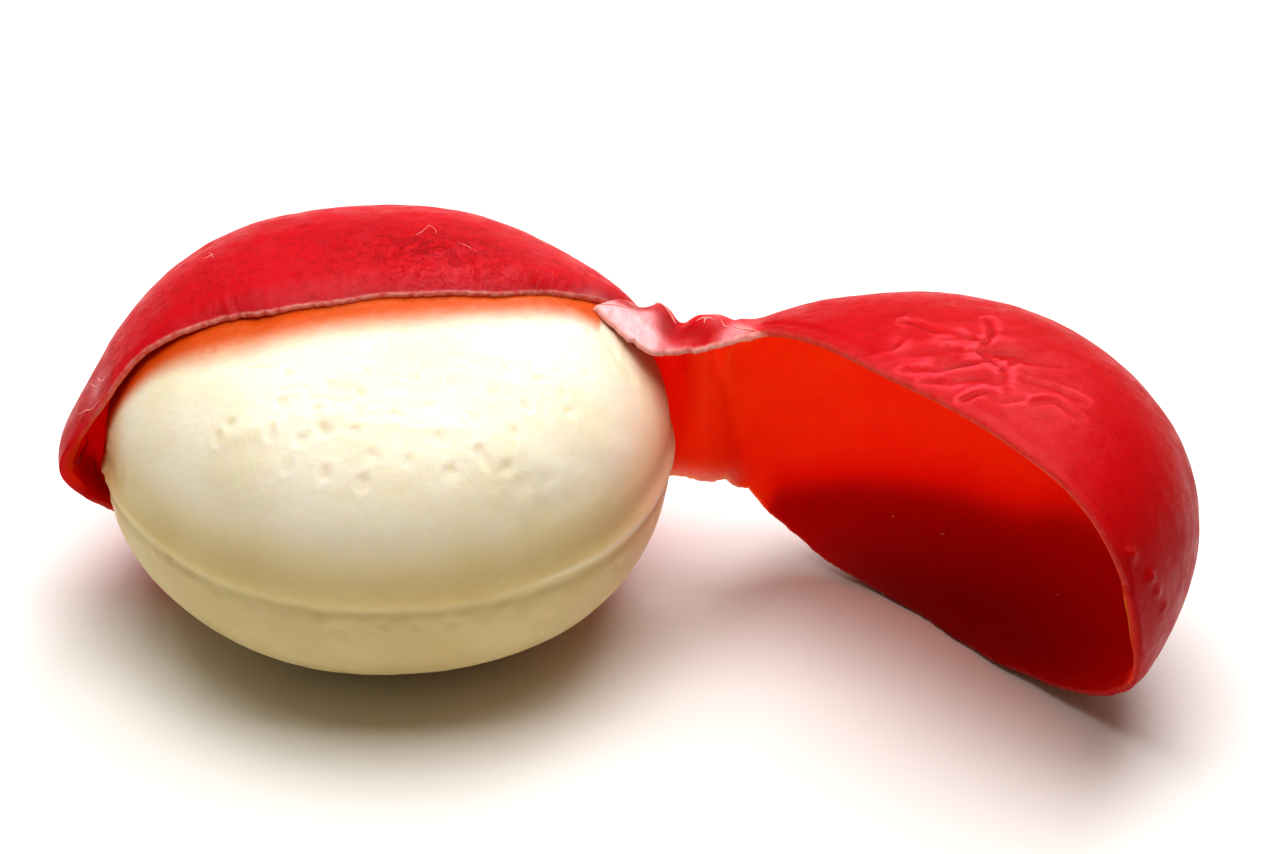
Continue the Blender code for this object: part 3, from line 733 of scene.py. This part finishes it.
# The crumpled part of the open half's outside: middle and spread in mm
CRUMPLE_PLACE = (38.0, -8.6, 12.0)
CRUMPLE_SPREAD = (6.4, 4.6, 6.0)
CRUMPLE_RISE = 0.19 * MM
WAX_WAVES = 0.10 * MM
WAX_RIPPLES = 0.04 * MM
WAX_GRAIN = 0.020 * MM
WAX_FINE_GRAIN = 0.012 * MM
RELIEF_START = 0.6 * MM  # from a torn edge, over which the outside's relief sets in
WAVES_START = 2.0 * MM
# Where the neck's crest rises: middle and spread in mm
NECK_CREST_PLACE = (23.1, 3.4, 6.5)
NECK_CREST_SPREAD = (1.3, 2.6, 3.0)
NECK_CREST_RISE = 1.0 * MM


def crease_depth(points, line, width):
    """1 in the crease, falling to 0 past its width, for points over the line seen from above."""
    nearest = np.full(points.shape[:-1], 1e9)
    for (ax, ay), (bx, by) in zip(line, line[1:]):
        start, along = np.array([ax, ay]) * MM, np.array([bx - ax, by - ay]) * MM
        t = np.clip(((points[..., :2] - start) @ along) / (along @ along), 0.0, 1.0)
        away = np.linalg.norm(points[..., :2] - start - t[..., None] * along, axis=-1)
        nearest = np.minimum(nearest, away)
    share = nearest / (width * MM)
    return np.exp(-(share**2)) - 0.45 * np.exp(-((share - 1.9) ** 2) * 1.4)


# How white each torn edge is. The way along the skin runs from 0 at the ear, through 1 and 2 at the
# neck's two ends, to 3 at the open half's far tip.
TOP_WHITENESS = [(0.0, 0.1), (0.06, 0.35), (0.2, 0.9), (1.0, 1.0), (2.0, 1.0), (2.1, 0.25), (3.0, 0.1)]
BOTTOM_WHITENESS = [(0.0, 0.05), (0.95, 0.1), (1.1, 0.6), (1.9, 0.6), (2.05, 0.1), (3.0, 0.05)]
TORN_REACH = 0.20 * MM
TOP_FRAYS = [(0.0, 0.05), (0.9, 0.05), (1.0, 0.34), (2.0, 0.34), (2.04, 0.0), (3.0, 0.0)]  # mm
BOTTOM_FRAYS = [
    (0.0, 0.0), (0.98, 0.0), (1.1, 0.14), (1.9, 0.14), (2.0, 0.0), (2.8, 0.0), (2.9, 0.22),
    (3.0, 0.22),
]
FRAY_REACH = 0.5 * MM
FRAY_SIZES = (0.55, 0.26)  # mm
OPEN_HALF_START = 2.02  # on the way along the skin
OPEN_HALF_FADE = 0.08
LIP_WIDTH = 0.62 * MM  # the rounded lip along the open half's top edge
LIP_RISE = 0.06 * MM
LIP_FADE = 0.25 * MM
GROOVE_PLACE = 0.3 * MM  # from the lip
INSIDE_GAP = 0.1 * MM  # between the floor and the wax's inside
# Where bent or stretched wax has turned pale, with a painted sheen on the neck's upturned faces and lower
# lip: (x, y, z, spread along x, y and z, strength) in mm
PALE_AND_SHEEN_SPOTS = [
    (14.6, 1.6, 9.6, 1.6, 1.8, 1.6, 0.9), (16.2, 0.6, 8.9, 1.8, 2.2, 1.4, 0.95),
    (17.6, -0.4, 8.1, 1.0, 1.4, 1.2, 0.9), (17.2, 3.0, 8.3, 1.4, 1.4, 0.9, 0.45),
    (22.8, 0.2, 7.9, 1.0, 1.5, 1.3, 0.45), (23.8, 0.6, 8.2, 1.0, 1.2, 1.3, 0.42),
    (20.4, -0.3, 7.4, 1.6, 0.5, 0.6, 0.5), (22.0, 2.9, 7.4, 0.7, 1.0, 0.8, 0.3),
    (18.9, 4.2, -5.7, 1.6, 2.0, 1.1, 0.95), (21.0, 3.7, -5.7, 1.6, 2.0, 1.0, 1.0),
    (22.8, 4.4, -6.3, 1.0, 2.0, 1.1, 0.8),
    (-19.2, -1.4, 5.6, 0.9, 1.6, 1.4, 0.35), (-21.2, 0.4, 2.0, 1.2, 2.0, 3.0, 0.18),
]
# Where the wax's red is made darker, with columns in the same order: painted shade at the open half's far
# end, in the gap under the rear half's edge and low at the far tip; a darker red at the neck's saddle and
# inside the ear
SHADE_AND_DARK_RED_SPOTS = [
    (51.0, -17.0, 3.0, 4.0, 7.0, 8.0, 0.95), (20.3, 1.9, 7.5, 2.2, 1.8, 1.6, 1.0),
    (16.2, 3.4, 8.4, 2.4, 0.9, 1.4, 0.95), (-20.4, -1.4, -0.6, 2.4, 4.0, 5.0, 0.9),
    (-19.6, -2.6, -4.0, 2.0, 3.0, 3.0, 0.8), (50.0, -21.0, -1.0, 3.0, 3.0, 6.0, 0.8),
]
INSIDE_SHADE_LEVEL = -6.9  # under this height, in mm, painted shade makes the open half darker red inside
INSIDE_SHADE_FADE = 2.0
FAR_END_RISE = 1.8  # how much higher that level lies at the far end
FAR_END_START = 42.0  # x in mm
FAR_END_GROWTH = 6.0
DEEP_RIM_WIDTH = 0.5  # mm along the open half's top edge, inside
DEEP_RIM_FADE = 0.9
DEEP_RIM = 0.8
FLANK_LEVEL = 0.35  # how far up the outside faces where the painted shade on the open half's flank starts
FLANK_FADE = 0.6
# Painted shade over the open half's whole outside, and more of it on its flank
OUTSIDE_SHADE_DEPTH = 0.56
FLANK_SHADE_DEPTH = 0.42
# Where the rear half's top is scuffed
SCUFFS = [(3.0, 4.6, 12.0, 7.0, 3.4, 4.0, 1.0), (-11.0, 2.0, 11.0, 2.0, 2.0, 3.0, 0.5)]
# Small bumps near the open half's far tip: (x, y, z, size, height) in mm
TIP_BUMPS = [
    (48.0, -22.1, 6.0, 0.45, 0.36), (49.4, -21.9, 4.1, 0.4, 0.34), (49.9, -21.6, 2.8, 0.45, 0.2),
    (50.4, -21.0, 1.2, 0.4, 0.2),
]


def way_along():
    """How far along the skin each of its sections lies, from 0 to 3."""
    side = np.arange(SIDE_SECTIONS) / SIDE_SECTIONS
    neck = 1 + np.arange(NECK_SECTIONS) / NECK_SECTIONS
    return np.concatenate([side, neck, 2 + side])[:, None]


def along_table(way, table):
    known = np.array(table)
    return np.interp(way, known[:, 0], known[:, 1])


def fray(sections, runs, way):
    """The torn edges pulled in and out along the skin."""
    middle = sections.mean(axis=1)
    edges = ((TOP_FRAYS, 0, 8), (BOTTOM_FRAYS, -1, -9))
    for (table, end, inward), run in zip(edges, runs):
        tip = middle[:, end]
        out = unit(tip - middle[:, inward])
        reach = along_table(way[:, 0], table) * MM
        rag = field(tip, FRAY_SIZES[0], shift=12.0) + 0.6 * field(tip, FRAY_SIZES[1], shift=15.0)
        pull = (reach * rag)[:, None] * np.exp(-run / FRAY_REACH)
        sections = sections + (out[:, None] * pull[..., None])[:, None]
    return sections


def wax_relief(outer, across, from_edge):
    """Rise of the outside and of both faces together, in metres, and how creased the outside is."""
    both = WAX_WAVES * field(outer, 6.0) + WAX_RIPPLES * field(outer, 2.4, shift=4.0)
    top = ease((across[..., 2] - 0.1) / 0.4)
    crumpled = spot(outer, CRUMPLE_PLACE, CRUMPLE_SPREAD) * top
    warped = warp(outer, 0.5, 2.2)
    ridges = 1 - 2.2 * np.abs(field(warped, 2.3, (1.6, 0.8, 1.0), 6.0))
    skin = CRUMPLE_RISE * crumpled * (ridges - 0.5)
    broken = 0.3 + 0.7 * ease(0.5 + field(outer, 1.7, shift=13.0))
    creased = 0.55 * crumpled * (0.4 - ridges)
    for line, width, depth in CREASES:
        crease = crease_depth(outer + CREASE_WARP * (warped - outer), line, width) * top
        skin -= CREASE_DEPTH * depth * MM * crease * broken
        creased += depth / DEEPEST_CREASE * crease * broken
    skin += WAX_GRAIN * field(outer, 1.0, shift=8.0)
    skin += WAX_FINE_GRAIN * field(outer, 0.55, shift=2.0)
    for x, y, z, size, height in TIP_BUMPS:
        skin += height * MM * spot(outer, (x, y, z), (size, size, size))
    skin *= ease(from_edge / RELIEF_START)
    return skin, both * ease(from_edge / WAVES_START + 0.1), creased


def both_faces(values):
    return np.concatenate([values, values[:, ::-1]], axis=1)


def outside_only(values):
    return np.concatenate([values, np.zeros(values.shape)], axis=1)


def wax_tones(middle, across, runs, way, open_half):
    """How torn, pale and deep red the wax is, the last for the outside and for the inside; pale is partly
    painted sheen, deep red mostly painted shade.
    """
    torn = along_table(way, TOP_WHITENESS) * (1 - ease(runs[0] / TORN_REACH))
    torn = torn + along_table(way, BOTTOM_WHITENESS) * (1 - ease(runs[1] / TORN_REACH))
    deep = spots(middle, SHADE_AND_DARK_RED_SPOTS)
    # Painted shade: the open half's outside darker, most where it faces sideways or down, and its inside
    # darker low down
    flank_shade = 1 - ease((across[..., 2] - FLANK_LEVEL) / FLANK_FADE)
    outside = np.maximum(deep, (OUTSIDE_SHADE_DEPTH + FLANK_SHADE_DEPTH * flank_shade) * open_half)
    far = ease((middle[..., 0] / MM - FAR_END_START) / FAR_END_GROWTH)
    level = INSIDE_SHADE_LEVEL + FAR_END_RISE * far
    low = 1 - ease((middle[..., 2] / MM - level + INSIDE_SHADE_FADE) / (2 * INSIDE_SHADE_FADE))
    rim = DEEP_RIM * (1 - ease((runs[0] / MM - DEEP_RIM_WIDTH) / DEEP_RIM_FADE))
    inside = np.maximum(deep, np.maximum(low, rim) * open_half)[:, ::-1]
    return torn, spots(middle, PALE_AND_SHEEN_SPOTS), np.concatenate([outside, inside], axis=1)


def wax_faces(rows):
    """Quads between the closed sections, and a strip across the first and the last of them."""
    count = 2 * SECTION_POINTS
    faces = []
    for row in range(rows - 1):
        here, there = row * count, (row + 1) * count
        for k in range(count):
            after = (k + 1) % count
            faces.append((here + k, there + k, there + after, here + after))
    for row, turned in ((0, False), (rows - 1, True)):
        base = row * count
        for k in range(SECTION_POINTS - 1):
            face = (base + k, base + k + 1, base + count - 2 - k, base + count - 1 - k)
            faces.append(face[::-1] if turned else face)
    return faces


def build_wax(material):
    sections = wax_sections()
    sections[..., 2] += NECK_CREST_RISE * spot(sections, NECK_CREST_PLACE, NECK_CREST_SPREAD)
    middle = sections.mean(axis=1)
    run = way_across(sections)
    runs = (run, run[:, -1:] - run)
    way = way_along()
    inner, outer = fray(sections, runs, way).swapaxes(0, 1)
    across = unit(outer - inner)
    skin, both, creased = wax_relief(outer, across, np.minimum(*runs))
    open_half = ease((way - OPEN_HALF_START) / OPEN_HALF_FADE)
    lip = open_half * (1 - ease((runs[0] - LIP_WIDTH) / LIP_FADE))
    groove = open_half * bell((runs[0] - LIP_WIDTH - GROOVE_PLACE) / LIP_FADE)
    skin = skin + LIP_RISE * lip - LIP_RISE * groove
    outer = outer + across * (skin + both)[..., None]
    inner = inner + across * both[..., None]
    floor = -PUCK_CENTRE_HEIGHT
    outer[..., 2] = np.maximum(outer[..., 2], floor)
    inner[..., 2] = np.maximum(inner[..., 2], floor + INSIDE_GAP)
    loops = np.concatenate([outer, inner[:, ::-1]], axis=1)
    points = loops.reshape(-1, 3) + [0.0, 0.0, PUCK_CENTRE_HEIGHT]
    torn, pale, deep = wax_tones(middle, across, runs, way, open_half)
    marks = {
        "torn": both_faces(torn),
        "pale": both_faces(pale),
        "lip": outside_only(lip),
        "deep": deep,
        "clouded": both_faces(np.maximum(torn, pale) * (middle[..., 2] > 0)),
        "painted_crease_shade": outside_only(np.maximum(creased, 0.0)),
        "painted_ridge_highlight": outside_only(np.maximum(-creased, 0.0)),
        "scuffed": outside_only(spots(outer, SCUFFS)),
        "inside": 1 - outside_only(np.ones(run.shape)),
    }
    return object_from("red_wax", points, wax_faces(len(loops)), marks, material)


def wax_material():
    s = Shader("red_wax")
    inside, deep, scuffed = s.mark("inside"), s.mark("deep"), s.mark("scuffed")
    cloud = s.noise(5.0, detail=5.0, rough=0.6)
    outer = s.mix(s.span(cloud, 0.35, 0.7), (0.74, 0.007, 0.020), (0.63, 0.004, 0.013))
    mottle = s.noise(0.9, detail=6.0, rough=0.7)
    outer = s.mix(s.span(mottle, 0.50, 0.68, 0.0, 0.5), outer, (0.34, 0.002, 0.006))
    worn = s.times(scuffed, s.span(s.noise(1.4, detail=6.0, rough=0.7, warp=1.5), 0.50, 0.56))
    outer = s.mix(s.times(worn, 0.6), outer, (0.30, 0.002, 0.006))
    bloom = s.noise(2.4, detail=5.0, rough=0.6, warp=0.6)
    outer = s.mix(s.span(bloom, 0.50, 0.75, 0.0, 0.30), outer, (0.74, 0.05, 0.09))
    outer = s.mix(s.times(s.mark("lip"), 0.55), outer, (0.78, 0.05, 0.06))
    # Darker red outside: painted shade over the open half and at most listed spots, and a darker red at the
    # neck's saddle and inside the ear
    outer = s.mix(deep, outer, (0.36, 0.002, 0.005))
    # Painted shade in the creases and painted highlight on the crumpled ridges of the open half
    outer = s.mix(s.span(s.mark("painted_crease_shade"), 0.0, 1.0, 0.0, 0.55), outer, (0.26, 0.002, 0.006))
    outer = s.mix(s.span(s.mark("painted_ridge_highlight"), 0.0, 0.4, 0.0, 0.7), outer, (0.84, 0.07, 0.11))
    # Painted light: the inside face is a lighter, more orange red than the outside, standing in for light
    # coming through the wax
    inner = s.mix(s.span(cloud, 0.3, 0.7), (0.86, 0.135, 0.010), (0.80, 0.10, 0.007))
    # Darker red inside: painted shade low in the open half, a darker strip along its top edge, and the
    # listed spots
    inner = s.mix(deep, inner, (0.38, 0.003, 0.0015))
    colour = s.mix(inside, outer, inner)
    streaks = s.noise(0.6, detail=4.0, rough=0.65, stretch=(1.0, 2.5, 1.0))
    pale = s.times(s.mark("pale"), s.span(streaks, 0.25, 0.7, 0.70, 1.1))
    pale = s.times(pale, s.span(deep, 0.2, 0.9, 1.0, 0.12))
    rags = s.noise(0.45, detail=3.0, rough=0.6)
    torn = s.times(s.mark("torn"), s.span(rags, 0.3, 0.62, 0.35, 1.0))
    # Pale: real whitening of stretched wax, together with a painted sheen on the neck's upturned faces and
    # lower lip
    colour = s.mix(pale, colour, (0.91, 0.51, 0.54))
    colour = s.mix(torn, colour, (0.92, 0.46, 0.43))
    s.set("Base Color", colour)
    depth = s.span(inside, 0.0, 1.0, 0.72, 1.0)
    depth = s.times(depth, s.span(deep, 0.5, 1.0, 1.0, 0.55))
    clear = s.span(s.mark("clouded"), 0.0, 0.8, 1.0, 0.15)
    s.set("Subsurface Weight", s.times(depth, clear))
    scuffs = s.noise(1.8, detail=6.0, rough=0.65)
    gloss = s.span(scuffs, 0.3, 0.7, 0.32, 0.52)
    s.set("Roughness", s.math("ADD", gloss, s.times(worn, 0.12)))
    grain = s.bump(s.noise(0.22, detail=5.0, rough=0.7), 0.035, 0.6)
    grain = s.bump(mottle, 0.14, 0.5, under=grain)
    scratch = s.noise(0.5, detail=2.0, rough=0.4, stretch=(0.4, 9.0, 1.0), turn=(0.0, 0.0, 0.9))
    marked = s.times(scuffed, s.span(scratch, 0.60, 0.70))
    grain = s.bump(s.math("SUBTRACT", marked, worn), 0.07, 0.8, under=grain)
    s.set("Normal", s.bump(s.noise(1.3, detail=3.0), 0.14, 0.4, under=grain))
    s.surface.subsurface_method = "RANDOM_WALK"
    s.set("Subsurface Radius", (1.0, 0.16, 0.05))
    s.set("Subsurface Scale", 8.0 * MM)
    s.set("IOR", 1.42)
    s.set("Specular IOR Level", 0.26)
    return s.material


# Pale threads, cracks and crumbs on the torn wax: the points they pass, in mm, and their radius in mm
THREADS = [
    ([(17.7, 4.5, 8.6), (18.3, 4.3, 8.3), (18.7, 4.1, 7.9), (19.1, 3.8, 7.5), (19.3, 3.6, 7.3)], 0.11),
    ([(18.0, 4.5, 8.4), (18.5, 4.3, 8.0), (18.9, 4.1, 7.6)], 0.07),
    ([(20.6, 3.2, 7.5), (21.0, 3.4, 7.9), (21.4, 3.3, 7.9)], 0.07),
    ([(20.9, 3.6, 7.7), (21.3, 3.5, 8.0), (21.8, 3.0, 7.9)], 0.08),
    ([(21.1, 2.8, 7.8), (21.2, 3.3, 8.0), (21.1, 3.7, 7.8)], 0.06),
    ([(22.3, 2.5, 8.1), (22.4, 2.0, 8.2), (22.6, 1.6, 8.2), (22.9, 1.4, 8.3)], 0.06),
    ([(23.1, 1.6, 8.4), (23.3, 1.2, 8.4), (23.5, 0.8, 8.5)], 0.06),
    ([(23.5, 1.0, 8.5), (23.9, 0.7, 8.6), (24.4, 0.4, 8.6), (24.8, 0.1, 8.6)], 0.07),
    ([(14.2, 2.2, 9.8), (15.2, 2.5, 9.5), (16.2, 2.7, 9.0), (17.0, 3.1, 8.6)], 0.045),
    ([(-20.2, 1.6, -0.2), (-20.4, 1.3, -0.7), (-20.7, 0.3, -0.8), (-20.9, -1.0, -0.7), (-21.0, -2.3, -0.3),
      (-21.2, -3.0, 0.1)], 0.05),
    ([(-20.2, 1.2, -1.5), (-20.1, 0.6, -1.8), (-20.0, -0.3, -2.0), (-19.8, -1.3, -2.2)], 0.04),
    ([(-20.7, -1.8, 3.4), (-20.1, -2.4, 4.1), (-19.5, -2.9, 4.6), (-19.0, -2.9, 5.3)], 0.05),
    ([(-19.9, 0.3, 4.5), (-19.6, -0.6, 4.9), (-19.3, -1.3, 5.3)], 0.04),
    ([(-19.4, -0.1, 5.2), (-19.1, -1.0, 5.6), (-18.8, -1.7, 6.0)], 0.045),
    ([(34.1, 4.5, -8.9), (34.3, 4.4, -9.0)], 0.07),
    ([(37.4, 2.9, -9.3), (37.6, 2.8, -9.3), (37.8, 2.9, -9.2)], 0.06),
    ([(45.0, -4.6, -9.2), (45.2, -4.7, -9.2)], 0.07),
]
# Fine light scratches on the rear half's top, in the same way
SCRATCHES = [
    ([(2.6, 8.2, 12.0), (2.2, 7.0, 12.0), (1.2, 5.6, 12.0), (0.4, 4.6, 12.0)], 0.028),
    ([(2.6, 8.2, 12.0), (3.0, 7.6, 12.0), (3.1, 6.9, 12.0)], 0.028),
    ([(-0.6, 3.4, 12.0), (1.2, 3.9, 12.0), (2.8, 4.4, 12.0)], 0.026),
    ([(1.6, 3.0, 12.0), (2.6, 3.6, 12.0), (4.2, 3.9, 12.0)], 0.024),
    ([(-2.0, 4.8, 12.0), (-0.8, 5.0, 12.0), (0.2, 5.6, 12.0)], 0.024),
    ([(4.6, 5.6, 12.0), (5.4, 5.0, 12.0), (5.9, 4.3, 12.0)], 0.024),
    ([(-12.1, 7.3, 10.4), (-11.9, 6.6, 10.6), (-11.7, 5.9, 10.7)], 0.034),
    ([(-11.9, 6.6, 10.6), (-12.4, 6.3, 10.4)], 0.030),
]
THREAD_STEPS = 8
THREAD_SIDES = 6
THREAD_WANDER = 0.12 * MM
THREAD_END = 0.35  # share of the radius that is left at a thread's ends
THREAD_LIFT = 0.35  # share of the radius that a thread's middle lies above the wax


def build_threads(skin, material):
    """Each thread follows the wax that it lies on, thins to both ends and curls a little."""
    corners = [v.co for v in skin.data.vertices]
    tree = BVHTree.FromPolygons(corners, [list(p.vertices) for p in skin.data.polygons])
    points, faces = [], []
    for number, (line, radius) in enumerate(THREADS + SCRATCHES):
        known = np.array(line) * MM + [0.0, 0.0, PUCK_CENTRE_HEIGHT]
        stops = np.linspace(0, len(known) - 1, THREAD_STEPS * (len(known) - 1) + 1)
        path = np.column_stack([np.interp(stops, np.arange(len(known)), known[:, k]) for k in range(3)])
        wander = np.stack([field(path, 0.5, shift=number + k) for k in (0.0, 3.0, 6.0)], axis=-1)
        path = path + wander * THREAD_WANDER
        first = len(points)
        for k, place in enumerate(path):
            near, normal = tree.find_nearest(Vector(place))[:2]
            along = Vector(path[min(k + 1, len(path) - 1)] - path[max(k - 1, 0)]).normalized()
            beside = along.cross(normal).normalized()
            bulge = math.sin(math.pi * (k + 0.5) / len(path))
            thick = radius * MM * (THREAD_END + (1 - THREAD_END) * bulge)
            centre = near + normal * thick * THREAD_LIFT
            for side in range(THREAD_SIDES):
                turn = 2 * math.pi * side / THREAD_SIDES
                points.append(centre + thick * (beside * math.cos(turn) + normal * math.sin(turn)))
        for k in range(len(path) - 1):
            ring = first + k * THREAD_SIDES
            beyond = ring + THREAD_SIDES
            for side in range(THREAD_SIDES):
                after = (side + 1) % THREAD_SIDES
                faces.append((ring + side, ring + after, beyond + after, beyond + side))
        faces.append(tuple(range(first, first + THREAD_SIDES))[::-1])
        faces.append(tuple(range(len(points) - THREAD_SIDES, len(points))))
    return object_from("wax_threads", np.array([list(p) for p in points]), faces, {}, material)


def thread_material():
    s = Shader("pale_wax")
    tone = s.noise(0.4, detail=3.0)
    colour = s.mix(s.span(tone, 0.3, 0.7), (0.90, 0.46, 0.44), (0.92, 0.26, 0.24))
    s.set("Base Color", colour)
    s.set("Roughness", s.span(tone, 0.3, 0.7, 0.4, 0.6))
    s.set("Subsurface Weight", 0.3)
    s.set("Subsurface Radius", (1.0, 0.4, 0.3))
    s.set("Subsurface Scale", 0.3 * MM)
    return s.material


# Floor, light and camera

CAMERA_PLACE = (16.84 * MM, -326.49 * MM, 225.79 * MM)
CAMERA_TILT = math.radians(57.0)
CAMERA_LENS = 162.93
SENSOR_WIDTH = 36.0
FLOOR_SIZE = 3.0
WORLD_COLOUR = (1.0, 0.82, 0.60, 1.0)
WORLD_STRENGTH = 0.16
TOP_LIGHT_POWER = 1.95
SIDE_LIGHT_POWER = 0.42


def build_stage():
    mesh = bpy.data.meshes.new("floor")
    half = FLOOR_SIZE / 2
    corners = [(-half, -half, 0), (half, -half, 0), (half, half, 0), (-half, half, 0)]
    mesh.from_pydata(corners, [], [(0, 1, 2, 3)])
    s = Shader("floor")
    tone = s.span(s.noise(40.0), 0.3, 0.7)
    s.set("Base Color", s.mix(tone, (0.90, 0.90, 0.90), (0.88, 0.88, 0.88)))
    s.set("Roughness", 0.7)
    s.set("Specular IOR Level", 0.2)
    mesh.materials.append(s.material)
    floor = bpy.data.objects.new("floor", mesh)
    link(floor)


def area_light(name, place, target, size, power):
    light = bpy.data.lights.new(name, "AREA")
    light.shape = "RECTANGLE"
    light.size, light.size_y = size
    light.energy = power
    thing = bpy.data.objects.new(name, light)
    thing.location = place
    thing.rotation_euler = (Vector(target) - Vector(place)).to_track_quat("-Z", "Y").to_euler()
    link(thing)


def build_light():
    world = bpy.data.worlds.new("studio")
    world.use_nodes = True
    background = world.node_tree.nodes["Background"]
    background.inputs["Color"].default_value = WORLD_COLOUR
    background.inputs["Strength"].default_value = WORLD_STRENGTH
    bpy.context.scene.world = world
    area_light("top_light", (0.01, 0.025, 0.45), (0.01, 0.0, 0.0), (0.46, 0.42), TOP_LIGHT_POWER)
    area_light("side_light", (0.12, 0.28, 0.30), (0.04, 0.0, 0.02), (0.20, 0.15), SIDE_LIGHT_POWER)


def build_camera():
    camera = bpy.data.cameras.new("camera")
    camera.lens = CAMERA_LENS
    camera.sensor_width = SENSOR_WIDTH
    camera.clip_start = 0.01
    camera.clip_end = 10.0
    thing = bpy.data.objects.new("camera", camera)
    thing.location = CAMERA_PLACE
    thing.rotation_euler = (CAMERA_TILT, 0.0, 0.0)
    link(thing)
    bpy.context.scene.camera = thing


cheese = build_cheese(cheese_material())
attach(cheese, "root")
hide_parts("cheese")

wax = build_wax(wax_material())
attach(wax, "root")
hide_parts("wax")

threads = build_threads(wax, thread_material())
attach(threads, "root")

build_stage()
build_light()
build_camera()
bpy.context.scene.view_settings.view_transform = "Standard"
bpy.context.scene.view_settings.look = "High Contrast"
